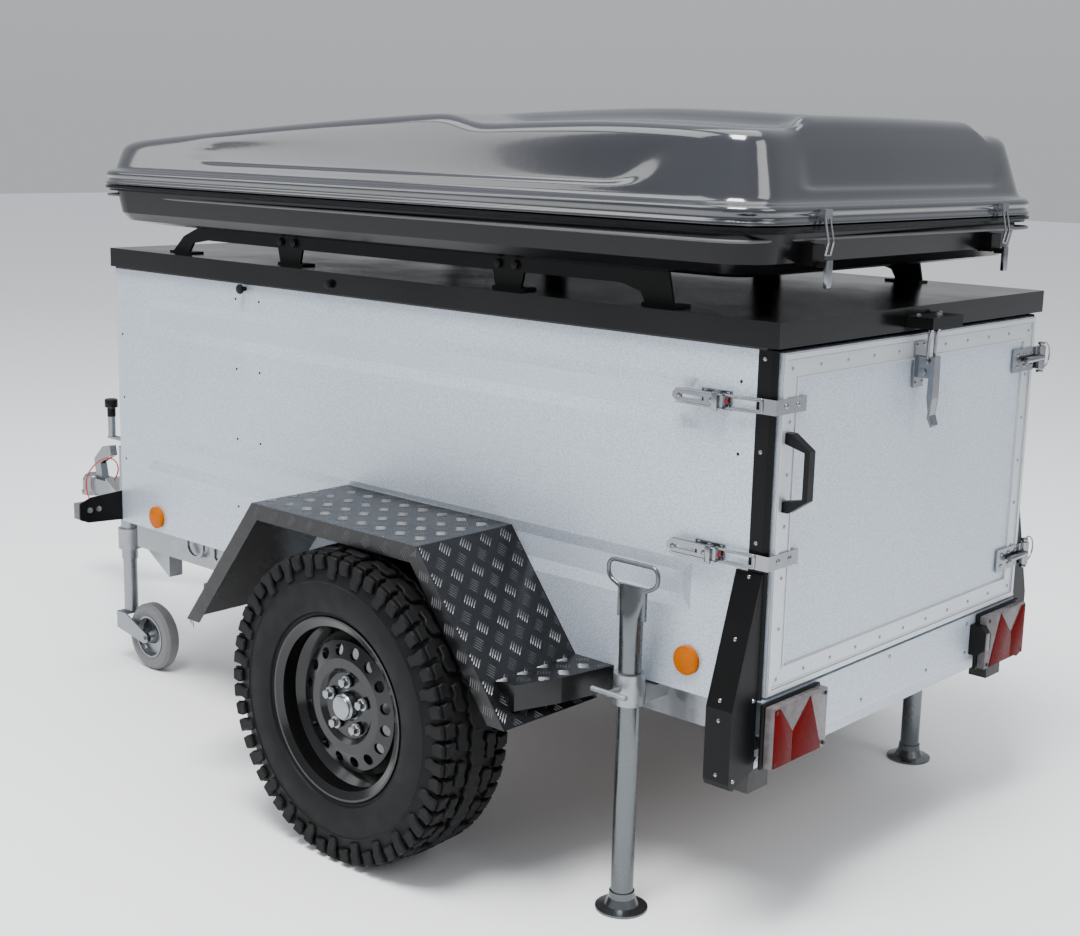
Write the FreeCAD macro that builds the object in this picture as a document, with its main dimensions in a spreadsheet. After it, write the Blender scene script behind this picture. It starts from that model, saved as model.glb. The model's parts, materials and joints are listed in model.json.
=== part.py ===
import FreeCAD, Part
import math
import os
import re

import Sketcher

# Single-axle box trailer with a hinged lid, a side-hinged rear gate and a hard-shell roof tent.
# Millimetres. +X points forward to the coupling, +Y to the left, +Z up, the ground is at z = 0.

document = FreeCAD.newDocument("BoxTrailer")
sheet = document.addObject("Spreadsheet::Sheet", "Sizes")
sizes = {
    # Places along the trailer, measured from the middle of the lid
    "midX": -484,
    "boxFront": 1095,
    "boxRear": 1047,
    "gateRear": 1095.5,
    "wheelX": -214,
    "fenderX": -142,
    "beamX": -90,
    # Box
    "boxHalf": 540,
    "wallThick": 20,
    "wallFoot": 490,
    "wallTop": 1207,
    "swageDepth": 7,
    "swageFlank": 27,
    "swageTall": 103,
    "swageUpper": 1034,
    "swageLower": 662,
    "swageFront": 970,
    "swageRear": 912,
    "floorThick": 18,
    "sillTop": 514,
    "sillFold": 406,
    "sillLip": 366,
    # Chassis and drawbar
    "railHalf": 480,
    "railWide": 40,
    "railTall": 80,
    "crossWide": 40,
    "legStart": 930,
    "legEnd": 1930,
    "legTipHalf": 34,
    "legWide": 44,
    "legTall": 60,
    "beamSquare": 60,
    "armThick": 30,
    "armInner": 600,
    # Coupling
    "couplingX": 2088,
    "leverWide": 26,
    "socketRadius": 25.4,
    "headRadius": 40,
    "headFoot": 325,
    "headTall": 72,
    "shankWide": 62,
    "cableY": 46,
    "cableRadius": 2.5,
    # Wheels
    "tyreRadius": 354,
    "tyreInner": 691,
    "tyreOuter": 891,
    "beadRadius": 190,
    "flangeRadius": 207,
    "flangeInner": 712,
    "flangeOuter": 880,
    "rimWall": 5,
    "discFace": 839,
    "discThick": 7,
    "hubRadius": 58,
    "hubInner": 660,
    "stubRadius": 17.5,
    "boltCircle": 112,
    "boltRadius": 8,
    "capRadius": 31,
    "runFit": 0.4,
    "hubRecess": 74,
    "domeRise": 10,
    "ventCircle": 127,
    "ventRadius": 13,
    "vents": 16,
    "lugs": 52,
    "lugTall": 11,
    "lugLong": 26,
    # Fenders
    "fenderHalfTop": 274,
    "fenderRun": 260,
    "fenderDrop": 335,
    "fenderTop": 752,
    "fenderEdge": 830,
    "sheetThick": 3,
    "lipTall": 38,
    "stepTop": 500,
    "stepTall": 55,
    "stepEdge": 800,
    "stepReach": 578,
    # Corner guards, buffers, lamps and lashing loops
    "guardTop": 772,
    "guardFold": 508,
    "guardFoot": 345,
    "guardFlare": 84,
    "guardSheet": 4,
    "bufferY": 470,
    "bufferWide": 70,
    "bufferLong": 46,
    "bufferFoot": 316,
    "tailWide": 204,
    "tailTall": 136,
    "tailBase": 10,
    "tailLens": 20,
    "reflectorRadius": 30,
    "reflectorThick": 7,
    "loopX": 790,
    "lugX": 690,
    "loopSteel": 8,
    # Lid and roof tent
    "lidHalfLong": 1100,
    "lidHalfWide": 552,
    "lidFoot": 1213,
    "skirtTall": 50,
    "lidSheet": 5,
    "sealWide": 14,
    "seatGap": 0.3,
    "railY": 497,
    "railPlate": 6,
    "railTop": 1333,
    "tentFront": 1118,
    "tentRear": 1065,
    "tentHalf": 600,
    "tentCorner": 110,
    "tentSplit": 1436,
    "rimTop": 1476,
    "roofTop": 1661,
    "archPeakX": -330,
    "archFront": 1546,
    "archRear": 1602,
    "ledgeStep": 28,
    "ledgeStart": -150,
    "ledgeHalf": 345,
    "roofRound": 34,
    "recessFoot": 1505,
    "recessTop": 1598,
    "recessDepth": 4,
    "shellWall": 8,
    "tentHingeLeft": 300,
    "tentHingeRight": -400,
    "tentLatchY": 370,
    # Gate
    "gateHalf": 527,
    "gateFoot": 520,
    "gateTop": 1203,
    "gateThick": 25,
    "frameWide": 55,
    "frameProud": 3,
    "gatePinX": 1103,
    "gatePinY": 556,
    "gatePinRadius": 5,
    "gateGap": 6,
    "hingeUpper": 1078,
    "hingeLower": 598,
    "hookUpper": 1101,
    "hookLower": 796,
    "hookStrap": 98,
    "bailX": -1064,
    "handleTop": 1049,
    "handleFoot": 893,
    "handleReach": 58,
    "handleWide": 20,
    "handleY": 500,
    # Steady legs and jockey wheel
    "legX": -810,
    "legY": 600,
    "legRadius": 24,
    "tubeWall": 2.5,
    "legTubeTop": 640,
    "legLoopTop": 757,
    "footRadius": 56,
    "clampLow": 455,
    "clampTall": 66,
    "jockeyX": 1285,
    "jockeyY": 394,
    "jockeyRadius": 24,
    "jockeyTubeLow": 318,
    "jockeyTubeTop": 660,
    "jockeyTrail": 117,
    "jockeyWheelRadius": 100,
    "jockeyWheelWide": 50,
}

for row, (name, number) in enumerate(sizes.items(), 1):
    sheet.set(f"A{row}", name)
    sheet.set(f"B{row}", str(number))
    sheet.setAlias(f"B{row}", name)

pieces = {}


def keep(label, piece):
    piece.Label = label
    pieces[label] = piece
    return piece


def formula(text):
    """A size formula with the sheet's name put before each alias."""
    return re.sub(r"[A-Za-z]+", lambda word: f"Sizes.{word[0]}" if word[0] in sizes else word[0], str(text))


def put(piece, x=0, y=0, z=0, turn=0, about=(0, 0, 1)):
    """Turns a piece and binds its base to formulas."""
    piece.Placement = FreeCAD.Placement(FreeCAD.Vector(), FreeCAD.Rotation(FreeCAD.Vector(*about), turn))
    for axis, text in (("x", x), ("y", y), ("z", z)):
        piece.setExpression(f"Placement.Base.{axis}", formula(text))
    return piece


def block(name, long, wide, tall, x, y, z, turn=0, about=(0, 0, 1)):
    """A box with its low corner at x, y, z."""
    piece = document.addObject("Part::Box", name)
    for side, text in (("Length", long), ("Width", wide), ("Height", tall)):
        piece.setExpression(side, formula(text))
    return put(piece, x, y, z, turn, about)


towards = {"Z": ((0, 0, 1), 0), "X": ((0, 1, 0), 90), "Y": ((1, 0, 0), -90)}


def rod(name, radius, long, x, y, z, along="Z"):
    """A cylinder that starts at x, y, z and runs along an axis."""
    piece = document.addObject("Part::Cylinder", name)
    piece.setExpression("Radius", formula(radius))
    piece.setExpression("Height", formula(long))
    about, turn = towards[along]
    return put(piece, x, y, z, turn, about)


def join(name, *parts):
    piece = document.addObject("Part::MultiFuse", name)
    piece.Shapes = list(parts)
    return piece


def cut(name, base, *tools):
    piece = document.addObject("Part::Cut", name)
    piece.Base = base
    piece.Tool = tools[0] if len(tools) == 1 else join(name + "Tools", *tools)
    return piece


def common(name, *parts):
    piece = document.addObject("Part::MultiCommon", name)
    piece.Shapes = list(parts)
    return piece


def together(name, *parts):
    """Separate solids that share one node."""
    piece = document.addObject("Part::Compound", name)
    piece.Links = list(parts)
    return piece


def mirrored(name, source, normal=(0, 1, 0), x=0):
    piece = document.addObject("Part::Mirroring", name)
    piece.Source = source
    piece.Normal = FreeCAD.Vector(*normal)
    piece.setExpression("Base.x", formula(x))
    return piece


def sketchOn(body, plane, loops):
    """A sketch of closed polygons. Each corner is bound to two formulas, or lies on an axis where one is 0."""
    sketch = body.newObject("Sketcher::SketchObject", body.Name + "Sketch")
    origin = [part for part in body.Origin.OriginFeatures if part.Role == plane + "_Plane"][0]
    sketch.AttachmentSupport = (origin, "")
    sketch.MapMode = "FlatFace"
    bound = []
    for corners in loops:
        first = sketch.GeometryCount
        count = len(corners)
        ring = [FreeCAD.Vector(50 * math.cos(math.tau * step / count), 50 * math.sin(math.tau * step / count), 0)
                for step in range(count)]
        for step in range(count):
            sketch.addGeometry(Part.LineSegment(ring[step], ring[(step + 1) % count]), False)
        links = [Sketcher.Constraint("Coincident", first + step, 2, first + (step + 1) % count, 1)
                 for step in range(count)]
        sketch.addConstraint(links)
        for step, corner in enumerate(corners):
            for kind, axis, text, start in (("DistanceX", -2, corner[0], ring[step].x),
                                            ("DistanceY", -1, corner[1], ring[step].y)):
                if str(text) == "0":
                    sketch.addConstraint(Sketcher.Constraint("PointOnObject", first + step, 1, axis))
                else:
                    index = sketch.addConstraint(Sketcher.Constraint(kind, -1, 1, first + step, 1, start))
                    bound.append((index, text))
    for index, text in bound:
        sketch.setExpression(f"Constraints[{index}]", formula(text))
    return sketch


def pad(name, plane, corners, depth, x=0, y=0, z=0, holes=()):
    """A polygon drawn on a plane and padded towards +Z, +Y or +X."""
    body = document.addObject("PartDesign::Body", name)
    sketch = sketchOn(body, plane, [corners, *holes])
    feature = body.newObject("PartDesign::Pad", name + "Pad")
    feature.Profile = sketch
    feature.setExpression("Length", formula(depth))
    feature.Reversed = plane == "XZ"
    return put(body, x, y, z)


def turned(name, plane, corners, axis, x=0, y=0, z=0):
    """A polygon revolved fully about the sketch's own horizontal or vertical axis."""
    body = document.addObject("PartDesign::Body", name)
    sketch = sketchOn(body, plane, [corners])
    feature = body.newObject("PartDesign::Revolution", name + "Turn")
    feature.Profile = sketch
    feature.ReferenceAxis = (sketch, [axis + "_Axis"])
    feature.Angle = 360
    return put(body, x, y, z)


def formed(name, shape):
    piece = document.addObject("Part::Feature", name)
    piece.Shape = shape
    return piece


def bentPath(points, bend=math.inf):
    """Straight runs joined by tangent arcs of one radius, or else as large as the runs allow."""
    spots = [FreeCAD.Vector(*point) for point in points]
    edges = []
    start = spots[0]
    for before, corner, after in zip(spots, spots[1:], spots[2:]):
        into = (corner - before).normalize()
        out = (after - corner).normalize()
        half = into.getAngle(out) / 2
        room = 0.45 * min((corner - before).Length, (after - corner).Length)
        back = min(bend * math.tan(half), room)
        radius = back / math.tan(half)
        if bend == math.inf:
            print(f"cable radius {radius:.0f}")
        first = corner - into * back
        last = corner + out * back
        middle = corner + (out - into).normalize() * (radius / math.cos(half) - radius)
        edges.append(Part.LineSegment(start, first).toShape())
        edges.append(Part.Arc(first, middle, last).toShape())
        start = last
    edges.append(Part.LineSegment(start, spots[-1]).toShape())
    return Part.Wire(edges)


def wireForm(points, radius, bend=math.inf):
    """A round bar along a bent path."""
    path = bentPath(points, bend)
    heading = FreeCAD.Vector(*points[1]) - FreeCAD.Vector(*points[0])
    ring = Part.Wire(Part.makeCircle(radius, FreeCAD.Vector(*points[0]), heading))
    return path.makePipeShell([ring], True, False)


def size(name):
    return sizes[name]


def makeChassis():
    long = "boxFront + boxRear - 20"
    rails = [block(f"chassisRail{side}", long, "railWide", "railTall", "midX - boxRear + 10", y,
                   "wallFoot - railTall")
             for side, y in (("Left", "railHalf - railWide / 2"), ("Right", "-railHalf - railWide / 2"))]
    crossAt = {"Rear": "midX - boxRear + 10", "Middle": "midX + fenderX + 300",
               "Front": "midX + boxFront - 10 - crossWide"}
    crosses = [block("chassisCross" + place, "crossWide", "2 * railHalf - railWide", "railTall", x,
                     "-railHalf + railWide / 2", "wallFoot - railTall") for place, x in crossAt.items()]
    keep("chassis_frame", join("chassisFrame", *rails, *crosses))


def makeDrawbar():
    legs = []
    for side, sign in (("Left", ""), ("Right", "-")):
        corners = [("midX + legStart", f"{sign}(railHalf + legWide / 2)"),
                   ("midX + legStart", f"{sign}(railHalf - legWide / 2)"),
                   ("midX + legEnd", f"{sign}(legTipHalf - legWide / 2)"),
                   ("midX + legEnd", f"{sign}(legTipHalf + legWide / 2)")]
        legs.append(pad("drawLeg" + side, "XY", corners, "legTall", z="wallFoot - railTall - legTall"))
    tie = block("drawTie", 60, "2 * legTipHalf + legWide", "legTall", "midX + legEnd - 60",
                "-legTipHalf - legWide / 2", "wallFoot - railTall - legTall")
    keep("drawbar", join("drawBar", *legs, tie))


def makeCoupling():
    plan = [("midX + legEnd", "shankWide / 2"), ("midX + couplingX - headRadius", "shankWide / 2"),
            ("midX + couplingX", "headRadius - 3"), ("midX + couplingX", "3 - headRadius"),
            ("midX + couplingX - headRadius", "-shankWide / 2"), ("midX + legEnd", "-shankWide / 2")]
    shank = pad("couplingShank", "XY", plan, "headTall * 0.75", z="headFoot + headTall * 0.15")
    bell = [(0, 0), ("headRadius + 3", 0), ("headRadius + 3", 10), ("headRadius - 1", 16),
            ("headRadius - 2", "headTall - 20"), ("headRadius - 10", "headTall - 5"),
            ("headRadius - 20", "headTall"), (0, "headTall")]
    head = turned("couplingHead", "XZ", bell, "V", x="midX + couplingX", z="headFoot")
    socket = rod("couplingSocket", "socketRadius", 46, "midX + couplingX", 0, "headFoot - 1")
    keep("coupling_head", cut("couplingBody", join("couplingMass", shank, head), socket))
    seat = "headFoot + headTall * 0.9 + seatGap"
    lever = [("midX + couplingX - 36", seat), ("midX + couplingX - 76", seat),
             ("midX + couplingX - 63", "headFoot + headTall + 48"),
             ("midX + couplingX - 130", "headFoot + headTall + 82"),
             ("midX + couplingX - 124", "headFoot + headTall + 116"),
             ("midX + couplingX - 78", "headFoot + headTall + 108"),
             ("midX + couplingX - 26", "headFoot + headTall + 58")]
    slot = block("leverSlot", 70, "leverWide - 12", 34, "midX + couplingX - 118", "6 - leverWide / 2",
                 "headFoot + headTall + 74", 29, (0, 1, 0))
    keep("coupling_lever", cut("couplingLever", pad("leverMass", "XZ", lever, "leverWide", y="-leverWide / 2"), slot))


def makeAxle():
    beam = block("axleBeam", "beamSquare", "2 * armInner", "beamSquare", "midX + beamX - beamSquare / 2",
                 "-armInner", "wallFoot - railTall - beamSquare")
    boss = rod("armBoss", 42, "armThick", "midX + beamX", "armInner", "tyreRadius + 20", "Y")
    eye = rod("armEye", 34, "armThick", "midX + wheelX", "armInner", "tyreRadius", "Y")
    web = [("midX + beamX", "tyreRadius + 56"), ("midX + beamX", "tyreRadius - 16"),
           ("midX + wheelX", "tyreRadius - 28"), ("midX + wheelX", "tyreRadius + 28")]
    blade = pad("armBlade", "XZ", web, "armThick", y="armInner")
    stub = rod("armStub", "stubRadius", "discFace - discThick - 20 - armInner - armThick", "midX + wheelX",
               "armInner + armThick", "tyreRadius", "Y")
    arm = join("axleArm", boss, eye, blade, stub)
    keep("axle", join("axleWhole", beam, arm, mirrored("axleArmRight", arm)))


def wheelRing(centre, radius, y, count):
    """A regular polygon about a wheel's axle."""
    spots = []
    for step in range(count + 1):
        angle = math.tau * (step + 0.5) / count
        spots.append(FreeCAD.Vector(centre.x + radius * math.sin(angle), y, centre.z + radius * math.cos(angle)))
    return Part.makePolygon(spots)


def tyreCarcass(centre, profile, bore, count):
    """A tyre in flats as long as its tread pitch, from a profile of places across it and radii."""
    body = Part.makeLoft([wheelRing(centre, radius, y, count) for y, radius in profile], True, True)
    inside = bore / math.cos(math.pi / count)
    edges = [profile[0][0], profile[-1][0]]
    drum = Part.makeLoft([wheelRing(centre, inside, edges[0] - 1, count),
                          wheelRing(centre, inside, edges[1] + 1, count)], True, True)
    return body.cut(drum)


def roadTyre():
    """The left tyre: its carcass, with shoulder lugs that wrap on to both sidewalls in turn."""
    inner, outer, top, foot = size("tyreInner"), size("tyreOuter"), size("tyreRadius"), size("flangeRadius")
    tread = top - size("lugTall")
    centre = FreeCAD.Vector(size("midX") + size("wheelX"), 0, top)
    profile = [(inner + 30, foot + 3), (inner + 8, foot + 6), (inner, top - 85), (inner + 6, top - 30),
               (inner + 20, tread), (outer - 20, tread), (outer - 6, top - 30), (outer, top - 85),
               (outer - 8, foot + 6), (outer - 20, foot + 3)]
    carcass = tyreCarcass(centre, profile, size("beadRadius") + 1, size("lugs"))
    block = [(outer - 56, tread - 6), (outer - 56, top - 0.5), (outer - 24, top - 0.5), (outer - 5, top - 16),
             (outer - 0.5, top - 40), (outer - 12, top - 44), (outer - 24, tread - 8)]
    lugs = []
    middle = (inner + outer) / 2
    for step in range(size("lugs")):
        for side, phase in ((1, 0), (-1, 0.5)):
            corners = [FreeCAD.Vector(centre.x - size("lugLong") / 2, middle + side * (y - middle), centre.z + radius)
                       for y, radius in block]
            lug = Part.Face(Part.makePolygon(corners + corners[:1])).extrude(FreeCAD.Vector(size("lugLong"), 0, 0))
            lug.rotate(centre, FreeCAD.Vector(0, 1, 0), 360 * (step + phase) / size("lugs"))
            lugs.append(lug)
    return carcass.multiFuse(lugs)


def makeWheel():
    place = dict(x="midX + wheelX", z="tyreRadius")
    left = {"tyre": formed("tyreLeft", roadTyre())}
    rim = [("flangeInner", "flangeRadius"), ("flangeInner + 6", "flangeRadius"),
           ("flangeInner + 8", "beadRadius + 0.5"), ("flangeInner + 40", "beadRadius + 0.5"),
           ("flangeInner + 52", "beadRadius - 22"), ("flangeOuter - 62", "beadRadius - 22"),
           ("flangeOuter - 42", "beadRadius + 0.5"), ("flangeOuter - 8", "beadRadius + 0.5"),
           ("flangeOuter - 6", "flangeRadius"), ("flangeOuter", "flangeRadius"),
           ("flangeOuter", "flangeRadius - rimWall"), ("flangeOuter - 8", "beadRadius - rimWall"),
           ("flangeOuter - 44", "beadRadius - rimWall"), ("flangeOuter - 66", "beadRadius - 22 - rimWall"),
           ("discFace - 24", "beadRadius - 22 - rimWall"), ("discFace", "ventCircle + 20"),
           ("discFace + domeRise", "ventCircle - 19"), ("discFace + domeRise", "hubRecess + 12"),
           ("discFace", "hubRecess"), ("discFace", "hubRadius / 2 + 6"),
           ("discFace - discThick", "hubRadius / 2 + 6"), ("discFace - discThick", "hubRecess + 4"),
           ("discFace + domeRise - discThick", "hubRecess + 16"),
           ("discFace + domeRise - discThick", "ventCircle - 22"), ("discFace - discThick", "ventCircle + 15"),
           ("discFace - 34", "beadRadius - 22 - rimWall"),
           ("flangeInner + 50", "beadRadius - 22 - rimWall"), ("flangeInner + 38", "beadRadius - rimWall"),
           ("flangeInner", "beadRadius - rimWall")]
    left["rim"] = turned("rimLeft", "YZ", rim, "H", **place)
    hub = [("hubInner", "stubRadius + runFit"), ("discFace - discThick - 15", "stubRadius + runFit"),
           ("discFace - discThick - 15", 0), ("discFace + 20", 0), ("discFace + 20", "capRadius - 3"),
           ("discFace + 16", "capRadius"), ("discFace - discThick - 0.3", "capRadius"),
           ("discFace - discThick - 0.3", "hubRadius + 14"), ("discFace - discThick - 12", "hubRadius + 14"),
           ("discFace - discThick - 30", "hubRadius - 8"), ("hubInner", "hubRadius - 8")]
    mass = turned("hubMass", "YZ", hub, "H", **place)
    bolts = []
    for step in range(5):
        angle = 90 + 72 * step
        bolts.append(rod(f"wheelBolt{step}", "boltRadius", "discThick + 16",
                         f"midX + wheelX + boltCircle / 2 * cos({angle})", "discFace - discThick - 1",
                         f"tyreRadius + boltCircle / 2 * sin({angle})", "Y"))
    left["hub"] = join("hubLeft", mass, *bolts)
    holes = []
    for index, bolt in enumerate(bolts):
        angle = 90 + 72 * index
        holes.append(rod(f"wheelBoltHole{index}", "boltRadius + 0.2", "discThick + 10",
                         f"midX + wheelX + boltCircle / 2 * cos({angle})", "discFace - discThick - 5",
                         f"tyreRadius + boltCircle / 2 * sin({angle})", "Y"))
    for index in range(size("vents")):
        angle = f"360 / vents * {index + 0.5}"
        holes.append(rod(f"rimVent{index}", "ventRadius", "discThick + 60", f"midX + wheelX + ventCircle * cos({angle})",
                         "discFace - discThick - 30", f"tyreRadius + ventCircle * sin({angle})", "Y"))
    left["rim"] = cut("rimDrilled", left["rim"], *holes)
    for what, piece in left.items():
        keep(f"{what}_left", piece)
        keep(f"{what}_right", mirrored(what + "Right", piece))


def swage(name, foot):
    """The tapered form that presses one long swage into the left wall."""
    tool = document.addObject("Part::Wedge", name)
    long = "swageFront + swageRear"
    for side, text in (("Xmin", "swageFlank"), ("Xmax", f"{long} - swageFlank"), ("Zmin", "swageFlank"),
                       ("Zmax", "swageTall - swageFlank"), ("Ymin", "0"), ("Ymax", "2 * swageDepth"),
                       ("X2min", "-swageFlank"), ("X2max", f"{long} + swageFlank"), ("Z2min", "-swageFlank"),
                       ("Z2max", "swageTall + swageFlank")):
        tool.setExpression(side, formula(text))
    return put(tool, "midX - swageRear", "boxHalf - swageDepth", foot)


def makeBox():
    long = "boxFront + boxRear"
    tall = "wallTop - wallFoot"
    sheetSide = block("sideSheet", long, "wallThick", tall, "midX - boxRear", "boxHalf - wallThick", "wallFoot")
    swages = [swage("swageUp", "swageUpper"), swage("swageLow", "swageLower")]
    side = cut("sideWall", sheetSide, *swages)
    keep("side_walls", together("sideWalls", side, mirrored("sideWallRight", side)))
    keep("front_wall", block("frontWall", "wallThick", "2 * (boxHalf - wallThick)", tall,
                             "midX + boxFront - wallThick", "wallThick - boxHalf", "wallFoot"))
    keep("floor_panel", block("floorPanel", "boxFront + boxRear - wallThick", "2 * (boxHalf - wallThick)",
                              "floorThick", "midX - boxRear", "wallThick - boxHalf", "wallFoot"))
    rearFace = "midX - gateRear + gateGap"
    corner = [("midX - boxRear", "boxHalf"), (f"{rearFace} + 12", "boxHalf"), (rearFace, "boxHalf - 6"),
              (rearFace, "gateHalf + gateGap"), ("midX - gateRear + gateThick + gateGap", "gateHalf + gateGap"),
              ("midX - gateRear + gateThick + gateGap", "boxHalf - wallThick"),
              ("midX - boxRear", "boxHalf - wallThick")]
    post = pad("cornerPost", "XY", corner, "wallTop - sillTop", z="sillTop")
    keep("corner_posts", together("cornerPosts", post, mirrored("cornerPostRight", post)))
    outer = block("sealOuter", "boxFront + gateRear - gateThick - 5", "2 * boxHalf", "lidFoot - seatGap - wallTop",
                  "midX - gateRear + gateThick + 5", "-boxHalf", "wallTop")
    inner = block("sealInner", "boxFront + gateRear - gateThick - 5 - 2 * sealWide", "2 * (boxHalf - sealWide)",
                  20, "midX - gateRear + gateThick + 5 + sealWide", "sealWide - boxHalf", "wallTop - 5")
    keep("lid_seal", cut("lidSeal", outer, inner))
    rear = [("midX - gateRear", "sillTop"), ("midX - boxRear", "sillTop"),
            ("midX - boxRear", "sillTop - sheetThick"), ("midX - gateRear + sheetThick", "sillTop - sheetThick"),
            ("midX - gateRear + sheetThick", "sillFold + 1"),
            ("midX - gateRear + 20 + sheetThick", "sillLip + 1"), ("midX - gateRear + 20", "sillLip"),
            ("midX - gateRear", "sillFold")]
    keep("rear_sheet", pad("rearSheet", "XZ", rear, "2 * boxHalf - 8", y="4 - boxHalf"))


def makeFenders():
    slope = "atan2(fenderDrop; fenderRun)"
    across = f"sheetThick / sin({slope})"
    knee = f"sheetThick * tan({slope} / 2)"
    centre = "midX + fenderX"
    foot = "fenderTop - fenderDrop"
    half = "fenderHalfTop + fenderRun"
    band = [(f"{centre} - ({half})", foot), (f"{centre} - fenderHalfTop", "fenderTop"),
            (f"{centre} + fenderHalfTop", "fenderTop"), (f"{centre} + ({half})", foot),
            (f"{centre} + ({half}) - {across}", foot),
            (f"{centre} + fenderHalfTop - {knee}", "fenderTop - sheetThick"),
            (f"{centre} - fenderHalfTop + {knee}", "fenderTop - sheetThick"),
            (f"{centre} - ({half}) + {across}", foot)]
    sheetBand = pad("fenderBand", "XZ", band, "fenderEdge - boxHalf", y="boxHalf")
    down = f"lipTall / sin({slope})"
    bend = f"lipTall * tan({slope} / 2)"
    rim = band[:4] + [(f"{centre} + ({half}) - {down}", foot),
                      (f"{centre} + fenderHalfTop - {bend}", "fenderTop - lipTall"),
                      (f"{centre} - fenderHalfTop + {bend}", "fenderTop - lipTall"),
                      (f"{centre} - ({half}) + {down}", foot)]
    lip = pad("fenderLip", "XZ", rim, "sheetThick", y="fenderEdge - sheetThick")
    fender = join("fenderLeft", sheetBand, lip)
    keep("fenders", together("fenderPair", fender, mirrored("fenderRight", fender)))
    reach = f"fenderHalfTop + fenderRun * (fenderTop - stepTop) / fenderDrop"
    lower = f"fenderHalfTop + fenderRun * (fenderTop - stepTop + stepTall) / fenderDrop"
    plan = [(f"{centre} - ({reach}) + 60", "boxHalf"), (f"{centre} - stepReach", "boxHalf"),
            (f"{centre} - stepReach + 24", "stepEdge - 120"), (f"{centre} - stepReach + 57", "stepEdge - 12"),
            (f"{centre} - ({reach}) + 60", "stepEdge")]
    inset = [(f"{centre} - 300", "boxHalf - 5"), (f"{centre} - stepReach + 4", "boxHalf - 5"),
             (f"{centre} - stepReach + 28", "stepEdge - 122"), (f"{centre} - stepReach + 60", "stepEdge - 16"),
             (f"{centre} - 300", "stepEdge - 4")]
    profile = [(f"{centre} - ({reach})", "stepTop"), (f"{centre} - stepReach - 20", "stepTop"),
               (f"{centre} - stepReach - 20", "stepTop - stepTall"), (f"{centre} - ({lower})", "stepTop - stepTall")]
    solid = common("stepSolid", pad("stepPlan", "XY", plan, "stepTall + 2", z="stepTop - stepTall - 1"),
                   pad("stepSide", "XZ", profile, "stepEdge - boxHalf + 10", y="boxHalf - 5"))
    hollow = pad("stepHollow", "XY", inset, "stepTall", z="stepTop - stepTall - sheetThick")
    rear = cut("stepRear", solid, hollow)
    front = mirrored("stepFront", rear, (1, 0, 0), centre)
    steps = [rear, front, mirrored("stepRearRight", rear), mirrored("stepFrontRight", front)]
    keep("fender_steps", together("fenderSteps", *steps))


def makeGuards():
    """Folded plates that flare out past the rear corners, with the rubber buffers under the rear sheet."""
    edge = "boxHalf + guardFlare"
    flare = [("boxHalf", "guardTop"), ("boxHalf + guardSheet", "guardTop"), (edge, "guardFold + 2"),
             (edge, "guardFoot + 16"), (f"{edge} - 5", "guardFoot + 4"), (f"{edge} - 18", "guardFoot"),
             (f"{edge} - 18", "guardFoot + guardSheet"), (f"{edge} - guardSheet - 4", "guardFoot + 7"),
             (f"{edge} - guardSheet", "guardFoot + 18"), (f"{edge} - guardSheet", "guardFold"),
             ("boxHalf", "guardTop - 12")]
    side = pad("guardSide", "YZ", flare, 62, x="midX - boxRear - 37")
    web = [("boxHalf", "guardTop - 14"), (f"{edge} - 2", "guardFold - 8"), (f"{edge} - 2", "guardFoot + 14"),
           (f"{edge} - 16", "guardFoot + 2"), ("boxHalf", "guardFoot + 27")]
    back = pad("guardBack", "YZ", web, "guardSheet", x="midX - boxRear - 37")
    guard = join("guardLeft", side, back)
    keep("corner_guards", together("cornerGuards", guard, mirrored("guardRight", guard)))
    start = "midX - gateRear + 20 + sheetThick"
    rubber = block("bufferLeft", "bufferLong", "bufferWide", "sillLip - bufferFoot", start, "bufferY", "bufferFoot")
    stud = rod("bufferStud", 8, "wallFoot - railTall - sillLip", f"{start} + bufferLong / 2",
               "bufferY + bufferWide / 2", "sillLip")
    seat = block("bufferSeat", "bufferLong", "bufferWide", 6, start, "bufferY", "wallFoot - railTall - 6")
    left = join("bufferMass", rubber, stud, seat)
    keep("rear_buffers", together("rearBuffers", left, mirrored("bufferRight", left)))


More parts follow.
